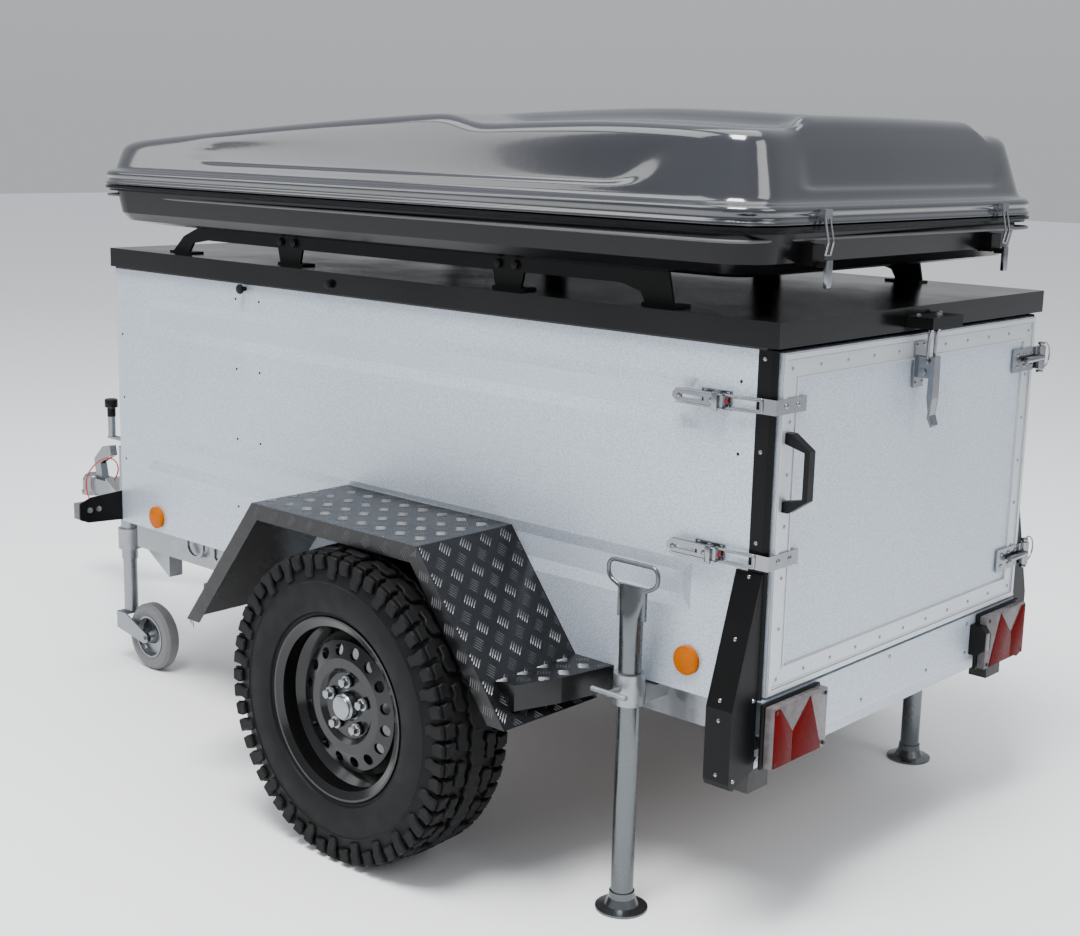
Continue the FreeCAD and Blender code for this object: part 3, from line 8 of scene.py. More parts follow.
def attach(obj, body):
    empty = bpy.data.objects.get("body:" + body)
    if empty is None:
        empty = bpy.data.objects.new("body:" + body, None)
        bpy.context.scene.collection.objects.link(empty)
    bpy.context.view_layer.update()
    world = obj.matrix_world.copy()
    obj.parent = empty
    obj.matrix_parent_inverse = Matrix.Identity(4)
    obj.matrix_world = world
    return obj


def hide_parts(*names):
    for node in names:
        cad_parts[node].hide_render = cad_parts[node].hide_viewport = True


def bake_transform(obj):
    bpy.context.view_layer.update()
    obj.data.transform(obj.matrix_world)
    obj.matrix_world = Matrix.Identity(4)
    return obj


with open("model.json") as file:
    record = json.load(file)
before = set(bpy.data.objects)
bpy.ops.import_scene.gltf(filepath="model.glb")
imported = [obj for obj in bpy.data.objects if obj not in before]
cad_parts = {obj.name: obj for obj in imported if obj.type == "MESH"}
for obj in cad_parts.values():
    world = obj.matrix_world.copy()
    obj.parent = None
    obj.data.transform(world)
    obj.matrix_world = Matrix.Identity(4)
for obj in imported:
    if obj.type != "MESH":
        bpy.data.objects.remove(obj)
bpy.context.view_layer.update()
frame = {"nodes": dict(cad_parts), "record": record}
nodes = frame["nodes"]
lidMiddle = Vector((-0.484, 0, 0))   # pieces are drawn from the middle of the lid and moved here at the end
print("frame loaded")

# camera, light and floor

camera = dict(x=-3.2725, y=3.0943, z=1.5996, yaw=-48.09, pitch=-11.66, roll=1.36, lens=54.13, sensor=36)
studio = dict(low=(0.84, 0.86, 0.88), high=(1.5, 1.58, 1.7), strength=0.58, floorSize=60,
              floorColour=(0.9, 0.905, 0.91))
lamps = [dict(name="key", at=(-1.9, 3.1, 7.6), aim=(-0.4, 0.4, 0.8), size=2.8, power=900),
         dict(name="fill", at=(-7.0, -0.5, 5.0), aim=(-0.8, 0, 0.8), size=3.0, power=110),
         dict(name="front", at=(3.2, 3.4, 7.0), aim=(0.2, 0.2, 0.8), size=3.4, power=130),
         dict(name="glow", at=(4.6, 4.1, 4.1), aim=(0.3, 0.6, 1.5), size=2.6, power=60),
         dict(name="top", at=(-0.8, -0.6, 6.5), aim=(-0.5, 0, 1.2), size=4.5, power=160)]


def placed(name, data):
    holder = bpy.data.objects.new(name, data)
    bpy.context.scene.collection.objects.link(holder)
    return holder


def makeCamera(c):
    yaw, pitch, roll = (math.radians(c[word]) for word in ("yaw", "pitch", "roll"))
    ahead = Vector((math.cos(yaw) * math.cos(pitch), math.sin(yaw) * math.cos(pitch), math.sin(pitch)))
    level = Vector((math.sin(yaw), -math.cos(yaw), 0))
    above = level.cross(ahead)
    across = level * math.cos(roll) + above * math.sin(roll)
    upward = above * math.cos(roll) - level * math.sin(roll)
    view = bpy.data.cameras.new("camera")
    view.lens = c["lens"]
    view.sensor_width = c["sensor"]
    holder = placed("camera", view)
    turn = Matrix((across, upward, -ahead)).transposed().to_4x4()
    holder.matrix_world = Matrix.Translation((c["x"], c["y"], c["z"])) @ turn
    bpy.context.scene.camera = holder


def makeLights():
    for lamp in lamps:
        light = bpy.data.lights.new(lamp["name"], "AREA")
        light.size = lamp["size"]
        light.energy = lamp["power"]
        holder = placed(lamp["name"], light)
        holder.location = lamp["at"]
        holder.rotation_euler = (Vector(lamp["aim"]) - Vector(lamp["at"])).to_track_quat("-Z", "Y").to_euler()
    world = bpy.data.worlds.new("studio")
    world.use_nodes = True
    tree = world.node_tree
    sky = tree.nodes["Background"]
    sky.inputs["Strength"].default_value = studio["strength"]
    place = tree.nodes.new("ShaderNodeTexCoord")
    split = tree.nodes.new("ShaderNodeSeparateXYZ")
    ramp = tree.nodes.new("ShaderNodeValToRGB")
    tree.links.new(place.outputs["Generated"], split.inputs["Vector"])
    tree.links.new(split.outputs["Z"], ramp.inputs["Fac"])
    tree.links.new(ramp.outputs["Color"], sky.inputs["Color"])
    ramp.color_ramp.elements[0].color = (*studio["low"], 1)
    ramp.color_ramp.elements[1].color = (*studio["high"], 1)
    bpy.context.scene.world = world


makeCamera(camera)
makeLights()
print("camera and lights")

# finishes

# name, two colours that mix, least and most roughness, scale of the patches and of the grain, depth of the
# grain in metres, and what differs from the usual values of makeFinish
finishes = [
    ("hammeredAluminium", (0.42, 0.47, 0.54), (0.50, 0.56, 0.64), (0.3, 0.46), 3.0, 330, 0.0007,
     dict(metal=0.3, speckle=0.45)),
    ("profileAluminium", (0.50, 0.53, 0.56), (0.58, 0.60, 0.63), (0.32, 0.42), 5, 260, 0.00006,
     dict(metal=0.6)),
    ("blackSteel", (0.0018, 0.0018, 0.002), (0.0036, 0.0036, 0.0038), (0.3, 0.44), 4, 900, 0.00012,
     dict(glint=0.15)),
    ("lidSheet", (0.0018, 0.0018, 0.002), (0.0036, 0.0036, 0.0038), (0.14, 0.24), 4, 260, 0.00012,
     dict(glint=0.3)),
    ("glossBlackRim", (0.003, 0.003, 0.0032), (0.005, 0.005, 0.0052), (0.12, 0.22), 12, 180, 0.00006,
     dict(glint=0.4)),
    ("galvanised", (0.24, 0.255, 0.27), (0.36, 0.375, 0.39), (0.3, 0.46), 38, 150, 0.00012,
     dict(metal=0.85, spangle=True)),
    # steady legs: galvanised made smoother and more metallic, and darker; the darkness is painted shade under
    # the trailer
    ("legZinc", (0.10, 0.112, 0.118), (0.15, 0.16, 0.166), (0.2, 0.34), 14, 400, 0.00006, dict(metal=0.9)),
    ("zincPlate", (0.20, 0.215, 0.23), (0.31, 0.325, 0.34), (0.22, 0.36), 22, 500, 0.00004, dict(metal=0.95)),
    ("stainless", (0.20, 0.21, 0.225), (0.31, 0.32, 0.335), (0.14, 0.28), 30, 700, 0.00003, dict(metal=1.0)),
    ("checkerBlack", (0.003, 0.003, 0.0034), (0.005, 0.005, 0.0056), (0.2, 0.32), 9, 640, 0.0001,
     dict(glint=0.35)),
    # checker bars: the black checker plate's material made lighter, a painted highlight on the raised bars
    ("checkerBar", (0.05, 0.052, 0.056), (0.09, 0.092, 0.097), (0.2, 0.32), 9, 640, 0.0001, dict(metal=0.5)),
    ("blackPlastic", (0.0022, 0.0022, 0.0024), (0.0044, 0.0044, 0.0046), (0.34, 0.46), 20, 1100, 0.0001,
     dict(glint=0.18)),
    ("glossShell", (0.008, 0.009, 0.012), (0.014, 0.016, 0.022), (0.1, 0.17), 2.6, 60, 0.0002,
     dict(coat=0.8, glint=0.7)),
    ("shellBase", (0.002, 0.002, 0.0024), (0.004, 0.004, 0.0044), (0.16, 0.26), 2.6, 60, 0.0002,
     dict(glint=0.25)),
    ("tyreRubber", (0.003, 0.003, 0.0033), (0.007, 0.007, 0.0074), (0.46, 0.64), 26, 800, 0.0002,
     dict(glint=0.14)),
    ("sealStrip", (0.06, 0.062, 0.065), (0.10, 0.102, 0.106), (0.4, 0.55), 160, 900, 0.0003, {}),
    ("greyRubber", (0.11, 0.11, 0.115), (0.17, 0.17, 0.175), (0.5, 0.66), 40, 900, 0.00015, {}),
    ("softRubber", (0.012, 0.012, 0.012), (0.02, 0.02, 0.02), (0.5, 0.64), 30, 900, 0.00012, {}),
    ("plywood", (0.10, 0.055, 0.03), (0.16, 0.09, 0.05), (0.4, 0.55), 6, 300, 0.0001, {}),
    ("redLens", (0.07, 0.0001, 0.0002), (0.11, 0.0002, 0.0004), (0.24, 0.34), 24, 180, 0.0006,
     dict(glint=0.03, cells=True)),
    ("clearLens", (0.05, 0.044, 0.046), (0.16, 0.145, 0.15), (0.12, 0.24), 60, 180, 0.0009,
     dict(glint=0.3, cells=True)),
    ("amberLens", (0.38, 0.085, 0.0001), (0.48, 0.12, 0.0002), (0.2, 0.3), 90, 220, 0.0007,
     dict(glint=0.05, cells=True)),
    ("redCover", (0.38, 0.003, 0.004), (0.46, 0.006, 0.006), (0.26, 0.36), 30, 900, 0.00005, {}),
]


def setInputs(node, inputs):
    for socket, value in inputs.items():
        node.inputs[socket].default_value = value


# a material, its node tree and its shader with some inputs set
def newFinish(name, inputs):
    finish = bpy.data.materials.new(name)
    finish.use_nodes = True
    shader = finish.node_tree.nodes["Principled BSDF"]
    setInputs(shader, inputs)
    return finish, finish.node_tree, shader


def addNode(tree, kind, inputs):
    node = tree.nodes.new("ShaderNode" + kind)
    setInputs(node, inputs)
    return node


# a mix of two colours, each given as a value or as another node's output
def addMix(tree, first, second, factor, blend="MIX"):
    mixed = tree.nodes.new("ShaderNodeMix")
    mixed.data_type = "RGBA"
    mixed.blend_type = blend
    for socket, value in (("A", first), ("B", second), ("Factor", factor)):
        if isinstance(value, bpy.types.NodeSocket):
            tree.links.new(value, mixed.inputs[socket])
        else:
            mixed.inputs[socket].default_value = value
    return mixed.outputs["Result"]


def addBump(tree, height, strength, depth):
    bump = addNode(tree, "Bump", {"Strength": strength, "Distance": depth})
    tree.links.new(height, bump.inputs["Height"])
    tree.links.new(bump.outputs["Normal"], tree.nodes["Principled BSDF"].inputs["Normal"])


# colour in two mixed tones, roughness and a fine relief, all read from Object coordinates
def makeFinish(name, colour, other, rough, patch, grain, depth, metal=0, coat=0, speckle=0, spangle=False,
               cells=False, glint=0.5):
    finish, tree, shader = newFinish(name, {"Metallic": metal, "Coat Weight": coat, "Coat Roughness": 0.06,
                                            "Specular IOR Level": glint})
    if spangle:
        blotches = addNode(tree, "TexVoronoi", {"Scale": patch})
        tone = blotches.outputs["Color"]
    else:
        blotches = addNode(tree, "TexNoise", {"Scale": patch, "Detail": 5})
        tone = blotches.outputs["Fac"]
    if cells:
        relief = addNode(tree, "TexVoronoi", {"Scale": grain, "Randomness": 0})
        relief.distance = "CHEBYCHEV"
        height = relief.outputs["Distance"]
    else:
        relief = addNode(tree, "TexNoise", {"Scale": grain, "Detail": 3})
        height = relief.outputs["Fac"]
    place = tree.nodes.new("ShaderNodeTexCoord")
    for texture in (blotches, relief):
        tree.links.new(place.outputs["Object"], texture.inputs["Vector"])
    result = addMix(tree, (*colour, 1), (*other, 1), tone)
    if speckle:
        spread = addNode(tree, "MapRange", {"From Min": 0.35, "From Max": 0.65})
        tree.links.new(height, spread.inputs["Value"])
        result = addMix(tree, result, spread.outputs["Result"], speckle, "SOFT_LIGHT")
    tree.links.new(result, shader.inputs["Base Color"])
    shine = addNode(tree, "MapRange", {"From Min": 0.3, "From Max": 0.7, "To Min": rough[0],
                                       "To Max": rough[1]})
    tree.links.new(tone, shine.inputs["Value"])
    tree.links.new(shine.outputs["Result"], shader.inputs["Roughness"])
    addBump(tree, height, 0.6, depth)
    return finish


made = {name: makeFinish(name, *numbers, **others) for name, *numbers, others in finishes}


# a plain weave: two bands of threads across each other
def makeCloth(name, warp, weft, threads, rough):
    finish, tree, shader = newFinish(name, {"Roughness": rough, "Sheen Weight": 0.25})
    place = tree.nodes.new("ShaderNodeTexCoord")
    weave = tree.nodes.new("ShaderNodeMath")
    weave.operation = "MAXIMUM"
    for axis, socket in zip(("X", "Z"), weave.inputs):
        wave = addNode(tree, "TexWave", {"Scale": threads})
        wave.bands_direction = axis
        tree.links.new(place.outputs["Object"], wave.inputs["Vector"])
        tree.links.new(wave.outputs["Fac"], socket)
    woven = addMix(tree, (*warp, 1), (*weft, 1), weave.outputs["Value"])
    tree.links.new(woven, shader.inputs["Base Color"])
    addBump(tree, weave.outputs["Value"], 0.5, 0.0004)
    return finish


made["tentCanvas"] = makeCloth("tentCanvas", (0.30, 0.29, 0.25), (0.38, 0.37, 0.33), 130, 0.8)
made["mattressCover"] = makeCloth("mattressCover", (0.42, 0.41, 0.37), (0.5, 0.49, 0.45), 110, 0.85)

slotFinish = {
    "sheet_aluminium": "hammeredAluminium", "frame_aluminium": "profileAluminium", "black_steel": "blackSteel",
    "gloss_rim": "glossBlackRim", "galvanised": "galvanised", "zinc": "zincPlate", "stainless": "stainless",
    "checker_black": "checkerBlack", "black_plastic": "blackPlastic", "gloss_shell": "glossShell",
    "tyre_rubber": "tyreRubber", "grey_rubber": "greyRubber", "seal_rubber": "softRubber",
    "buffer_rubber": "softRubber", "tent_canvas": "tentCanvas", "mattress_foam": "mattressCover",
    "plywood": "plywood", "lamp_red": "redLens", "lamp_white": "clearLens", "lamp_amber": "amberLens",
    "cable_red": "redCover",
}
# the steady legs take the darker leg finish, painted shade; the tent base and lid pan take their own finishes
nodeFinish = {"tent_base": "shellBase", "leg_left": "legZinc", "leg_right": "legZinc", "lid_pan": "lidSheet"}
finishSlot = {finish: slot for slot, finish in reversed(slotFinish.items())}
# the darker leg finish goes in the galvanised slot: painted shade on one material
# the lighter bar finish goes in the checker_black slot: one material with a painted highlight on its bars
finishSlot.update(legZinc="galvanised", checkerBar="checker_black")

for part in frame["record"]["subparts"]:
    node = nodes[part["node"]]
    node.data.materials.clear()
    finish = nodeFinish.get(part["node"], slotFinish[part["material_slot"]])
    node.data.materials.append(made[finish])
print("finishes")

# how pieces are built


def soften(bm, edges, edge, steps):
    bmesh.ops.bevel(bm, geom=edges, offset=edge, affect="EDGES", segments=steps, profile=0.5, material=-1)


def edgesOf(corners):
    return list({side for corner in corners for side in corner.link_edges})


def cornersOf(items):
    return [item for item in items if isinstance(item, bmesh.types.BMVert)]


def doubled(bm):
    return bmesh.ops.duplicate(bm, geom=bm.verts[:] + bm.edges[:] + bm.faces[:])["geom"]


# the faces between closed rings of corners
def joinRings(bm, rings):
    for lower, upper in zip(rings, rings[1:]):
        for index in range(len(lower)):
            after = (index + 1) % len(lower)
            bm.faces.new((lower[index], lower[after], upper[after], upper[index]))


# a box between two corners, turned about its middle if asked, with its edges softened
def addBlock(bm, low, high, edge=0.0, steps=1, turn=None):
    low, high = Vector(low), Vector(high)
    box = bmesh.ops.create_cube(bm, size=1)["verts"]
    bmesh.ops.scale(bm, verts=box, vec=high - low)
    bmesh.ops.translate(bm, verts=box, vec=(low + high) / 2)
    if turn is not None:
        bmesh.ops.rotate(bm, verts=box, cent=(low + high) / 2, matrix=turn)
    if edge:
        soften(bm, edgesOf(box), edge, steps)


# a round bar, or a cone where the tip has its own radius
def addRod(bm, start, end, radius, sides=16, tip=None, edge=0.0):
    start, end = Vector(start), Vector(end)
    run = end - start
    turn = run.to_track_quat("Z", "Y").to_matrix().to_4x4()
    bar = bmesh.ops.create_cone(bm, cap_ends=True, segments=sides, radius1=radius, depth=run.length,
                                radius2=radius if tip is None else tip,
                                matrix=Matrix.Translation((start + end) / 2) @ turn)["verts"]
    if edge:
        rims = [side for side in edgesOf(bar) if any(len(face.verts) > 4 for face in side.link_faces)]
        soften(bm, rims, edge, 2)


# an outline drawn in a plane, given its depth along the plane's own Z and softened
def addPlate(bm, outline, depth, place, edge=0.0, steps=1):
    corners = [bm.verts.new((*spot, 0)) for spot in outline]
    face = bm.faces.new(corners)
    body = bmesh.ops.extrude_face_region(bm, geom=[face])["geom"]
    raised = cornersOf(body)
    bmesh.ops.translate(bm, verts=raised, vec=(0, 0, depth))
    bmesh.ops.transform(bm, verts=corners + raised, matrix=place)
    if edge:
        soften(bm, edgesOf(corners + raised), edge, steps)


# a profile of (radius, height) spun about the local Z
def addTurned(bm, profile, place, steps=48):
    chain = [bm.verts.new((radius, 0, height)) for radius, height in profile]
    edges = [bm.edges.new(pair) for pair in zip(chain, chain[1:])]
    bmesh.ops.spin(bm, geom=chain + edges, cent=(0, 0, 0), axis=(0, 0, 1), angle=math.tau, steps=steps,
                   use_merge=True)
    whole = {corner for seed in chain for corner in linked(seed)}
    bmesh.ops.transform(bm, verts=list(whole), matrix=place)


def linked(seed):
    found, waiting = {seed}, [seed]
    while waiting:
        for side in waiting.pop().link_edges:
            for corner in side.verts:
                if corner not in found:
                    found.add(corner)
                    waiting.append(corner)
    return found


# a place whose local Z is the normal
def facing(at, normal):
    return Matrix.Translation(at) @ Vector(normal).to_track_quat("Z", "Y").to_matrix().to_4x4()


# a dome head that stands on a surface
def addRivet(bm, at, normal, radius, height=0.5, sides=10):
    squash = Matrix.Diagonal((1, 1, height, 1))
    bmesh.ops.create_uvsphere(bm, u_segments=sides, v_segments=6, radius=radius,
                              matrix=facing(at, normal) @ squash)


# a hexagon head on its washer
def addBolt(bm, at, normal, across, tall):
    at, normal = Vector(at), Vector(normal).normalized()
    addRod(bm, at - normal * 0.001, at + normal * 0.0016, across * 0.72, sides=18)
    addRod(bm, at, at + normal * tall, across * 0.57, sides=6, edge=across * 0.05)


# moves the mesh to the row frame and makes it a piece that rides on its body
def addPiece(name, bm, body, *names, replaces=(), angle=32, outward=True, mirror=False, weld=False):
    if mirror:
        bmesh.ops.scale(bm, verts=cornersOf(doubled(bm)), vec=(1, -1, 1))
    if weld:
        bmesh.ops.remove_doubles(bm, verts=bm.verts, dist=0.00001)
    if outward or mirror:
        bmesh.ops.recalc_face_normals(bm, faces=bm.faces)
    bmesh.ops.translate(bm, verts=bm.verts, vec=lidMiddle)
    mesh = bpy.data.meshes.new(name)
    bm.to_mesh(mesh)
    bm.free()
    for face in mesh.polygons:
        face.use_smooth = True
    mesh.set_sharp_from_angle(angle=math.radians(angle))
    for finish in names:
        mesh.materials.append(made[finish])
    piece = placed(name, mesh)
    if body:
        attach(piece, body)
    if replaces:
        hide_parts(*replaces)
    return piece


# round bars along smooth lines, each from its own control points
def addWire(name, body, finish, paths, radius):
    line = bpy.data.curves.new(name, "CURVE")
    line.dimensions = "3D"
    line.bevel_depth = radius
    line.bevel_resolution = 3
    line.resolution_u = 8
    line.use_fill_caps = True
    for path in paths:
        spline = line.splines.new("NURBS")
        spline.points.add(len(path) - 1)
        for spot, point in zip(path, spline.points):
            point.co = (*(Vector(spot) + lidMiddle), 1)
        spline.order_u = 3
        spline.use_endpoint_u = True
    line.materials.append(made[finish])
    piece = placed(name, line)
    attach(piece, body)
    return piece


# the floor, and the red breakaway cable that hangs round the coupling

cable = dict(y=0.046, radius=0.0025, length=0.53,
             side=[(1.890, 0.412), (1.862, 0.440), (1.872, 0.476), (1.912, 0.484), (1.956, 0.474),
                   (2.002, 0.450), (2.044, 0.416), (2.068, 0.376), (2.062, 0.336), (2.036, 0.300),
                   (2.000, 0.280), (1.955, 0.284), (1.918, 0.312), (1.905, 0.349)])


def makeFloor():
    bm = bmesh.new()
    bmesh.ops.create_grid(bm, x_segments=1, y_segments=1, size=studio["floorSize"] / 2)
    mesh = bpy.data.meshes.new("floor")
    bm.to_mesh(mesh)
    bm.free()
    ground = placed("floor", mesh)
    pale, _, _ = newFinish("paleFloor", {"Base Color": (*studio["floorColour"], 1), "Roughness": 0.9})
    mesh.materials.append(pale)


def makeCable(c):
    path = [(x, c["y"], z) for x, z in c["side"]]
    line = addWire("safetyCable", "trailer", "redCover", [path], c["radius"])
    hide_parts("safety_cable")


makeFloor()
makeCable(cable)
print("floor and cable")

# wheels: carcass, tread blocks and shoulder lugs, wheel bolts and hub cap

wheel = dict(x=-0.214, middle=0.791, radius=0.354, half=0.1, pitches=26, blockTall=0.013,
             carcass=[(0.192, -0.070), (0.203, -0.082), (0.214, -0.089), (0.217, -0.0885), (0.219, -0.093),
                      (0.235, -0.0965), (0.262, -0.0985), (0.284, -0.0965), (0.287, -0.0985), (0.291, -0.0955),
                      (0.310, -0.092), (0.326, -0.086), (0.338, -0.074), (0.3415, -0.050), (0.342, 0)])
hubTrim = dict(circle=0.056, face=0.842, washer=(0.0145, 0.006), head=(0.0105, 0.019), capFace=0.851, cap=0.028,
               capTip=0.026, capTall=0.012)
lug = dict(
    edge=0.0022, sideSink=0.002, shoulderSink=0.034, shoulderTall=0.031, wrapSink=0.001, wrapTall=0.011,
    wrapEdge=0.003,
    middle=[(-0.034, -0.006), (-0.020, -0.019), (0.004, -0.017), (0.012, -0.024), (0.032, -0.010),
            (0.022, 0.004), (0.030, 0.016), (0.008, 0.022), (-0.006, 0.012), (-0.024, 0.018)],
    side=[(-0.034, 0.030), (-0.016, 0.026), (-0.006, 0.033), (0.016, 0.029), (0.030, 0.036), (0.026, 0.054),
          (0.006, 0.051), (-0.004, 0.058), (-0.028, 0.053)],
    shoulder=[(-0.016, 0.061), (-0.004, 0.066), (0.014, 0.060), (0.017, 0.074), (0.013, 0.088), (-0.017, 0.088),
              (-0.013, 0.074)],
    longWrap=[(-0.016, 0.346), (-0.0175, 0.324), (-0.011, 0.308), (-0.013, 0.296), (0.010, 0.294),
              (0.015, 0.306), (0.010, 0.322), (0.014, 0.346)],
    shortWrap=[(-0.015, 0.346), (-0.013, 0.330), (-0.0165, 0.316), (0.011, 0.313), (0.016, 0.328),
               (0.013, 0.346)])


# one pitch of the tread, made at the top of the wheel
def addLugs(bm):
    def block(outline, low, tall, turn=0):
        flat = bmesh.new()
        addPlate(flat, outline, tall, Matrix.Translation((0, 0, low)), lug["edge"])
        if turn:
            bmesh.ops.rotate(flat, verts=flat.verts, matrix=Matrix.Rotation(turn, 3, "Z"))
        return flat

    radius, tall, step = wheel["radius"], wheel["blockTall"], math.tau / wheel["pitches"]
    lugs = []
    for turn in (0, math.pi):
        late = 0.25 if turn else 0
        lugs.append((block(lug["side"], radius - tall - lug["sideSink"], tall, turn), 0.25 if turn else -0.25))
        for index, wrap in enumerate((lug["longWrap"], lug["shortWrap"])):
            phase = index * 0.5 + late
            foot = radius - lug["shoulderSink"]
            lugs.append((block(lug["shoulder"], foot, lug["shoulderTall"], turn), phase))
            side = bmesh.new()
            addPlate(side, wrap, lug["wrapTall"], Matrix.Rotation(math.pi / 2, 4, "X"), lug["wrapEdge"])
            bmesh.ops.translate(side, verts=side.verts, vec=(0, wheel["half"] - lug["wrapSink"], 0))
            if turn:
                bmesh.ops.rotate(side, verts=side.verts, matrix=Matrix.Rotation(turn, 3, "Z"))
            lugs.append((side, phase))
    for phase in (0, 0.5):
        lugs.append((block(lug["middle"], radius - tall, tall, math.pi if phase else 0), phase))
    for flat, phase in lugs:
        bmesh.ops.rotate(flat, verts=flat.verts, matrix=Matrix.Rotation(phase * step, 3, "Y"))
        mesh = bpy.data.meshes.new("lug")
        flat.to_mesh(mesh)
        flat.free()
        bm.from_mesh(mesh)
        bpy.data.meshes.remove(mesh)


def makeTyre(side, sign):
    bm = bmesh.new()
    addLugs(bm)
    pitch = bm.verts[:] + bm.edges[:] + bm.faces[:]
    for count in range(1, wheel["pitches"]):
        copied = bmesh.ops.duplicate(bm, geom=pitch)["geom"]
        bmesh.ops.rotate(bm, verts=cornersOf(copied),
                         matrix=Matrix.Rotation(math.tau * count / wheel["pitches"], 3, "Y"))
    half = wheel["carcass"]
    whole = half + [(radius, -lateral) for radius, lateral in reversed(half[:-1])]
    addTurned(bm, whole, Matrix.Rotation(math.pi / 2, 4, "X"), 104)
    bmesh.ops.translate(bm, verts=bm.verts, vec=(wheel["x"], sign * wheel["middle"], wheel["radius"]))
    addPiece("tyre" + side.title() + "Rubber", bm, "wheel_" + side, "tyreRubber", replaces=["tyre_" + side],
             angle=38)


def makeWheelFittings(side, sign, c):
    bm = bmesh.new()
    out = Vector((0, sign, 0))
    for count in range(5):
        angle = math.radians(90 + 72 * count)
        foot = Vector((wheel["x"] + c["circle"] * math.cos(angle), sign * c["face"],
                       wheel["radius"] + c["circle"] * math.sin(angle)))
        addRod(bm, foot, foot + out * c["washer"][1], c["washer"][0], sides=24, edge=0.0015)
        addRod(bm, foot, foot + out * c["head"][1], c["head"][0], sides=6, edge=0.0014)
    centre = Vector((wheel["x"], sign * c["capFace"], wheel["radius"]))
    addRod(bm, centre, centre + out * c["capTall"], c["cap"], sides=48, tip=c["capTip"], edge=0.002)
    addPiece("wheelBolts" + side.title(), bm, "wheel_" + side, "zincPlate")


for side, sign in (("left", 1), ("right", -1)):
    makeTyre(side, sign)
    makeWheelFittings(side, sign, hubTrim)
print("wheels")

# fenders: raised five-bar pattern on the plates, their lips and the steps

fender = dict(x=-0.142, halfTop=0.274, run=0.26, drop=0.335, top=0.752, wall=0.54, edge=0.83, lip=0.038,
              stepTop=0.5, stepEdge=0.8, stepReach=0.578, stepRim=0.006, stepSlant=0.1, stepCorner=0.14,
              stepCut=0.3)
bar = dict(long=0.026, wide=0.0034, tall=0.0011, pitch=0.0061, repeat=0.062)


# one raised bar with a ridge, from end to end in the plane of its plate
def addBar(bm, start, end, place):
    start, end = Vector((*start, 0)), Vector((*end, 0))
    run = (end - start).normalized()
    side = Vector((-run.y, run.x, 0)) * bar["wide"] / 2
    third = (end - start) * 0.28
    ridge = Vector((0, 0, bar["tall"]))
    foot = [start, start + third + side, end - third + side, end, end - third - side, start + third - side]
    low = [bm.verts.new(place @ spot) for spot in foot]
    high = [bm.verts.new(place @ (spot + ridge)) for spot in (start + third * 0.7, end - third * 0.7)]
    for ring in ((low[0], high[0], low[1]), (low[1], high[0], high[1], low[2]), (low[2], high[1], low[3]),
                 (low[3], high[1], low[4]), (low[4], high[1], high[0], low[5]), (low[5], high[0], low[0])):
        bm.faces.new(ring)


# fills a plate with groups of five bars that lie one way and the other in turn
def addPattern(bm, place, long, wide, shift=(0, 0), edges=None):
    half = bar["repeat"] / 2
    for column in range(-1, int(long / half) + 2):
        for row in range(-1, int(wide / half) + 2):
            if (column + row) % 2:
                continue
            middle = Vector((column * half + shift[0], row * half + shift[1]))
            lean = 1 if column % 2 else -1
            run = Vector((1, lean)).normalized()
            across = Vector((-run.y, run.x))
            for step in range(-2, 3):
                spot = middle + across * step * bar["pitch"]
                ends = clipped(spot - run * bar["long"] / 2, spot + run * bar["long"] / 2, long, wide, edges)
                if ends:
                    addBar(bm, *ends, place)


# the stretch of a bar that lies on its plate, or nothing where too little is left
def clipped(start, end, long, wide, edges):
    samples = [start.lerp(end, step / 12) for step in range(13)]
    kept = [spot for spot in samples if 0.002 < spot.x < long - 0.002 and 0.002 < spot.y < wide - 0.002
            and (edges is None or edges(spot.x, spot.y))]
    if len(kept) < 5:
        return None
    return kept[0], kept[-1]


# a plate's place from its corner and its two directions, with local Z standing out of it
def plateAt(corner, along, across):
    along, across = Vector(along).normalized(), Vector(across).normalized()
    out = along.cross(across)
    return Matrix.Translation(Vector(corner)) @ Matrix((along, across, out)).transposed().to_4x4()


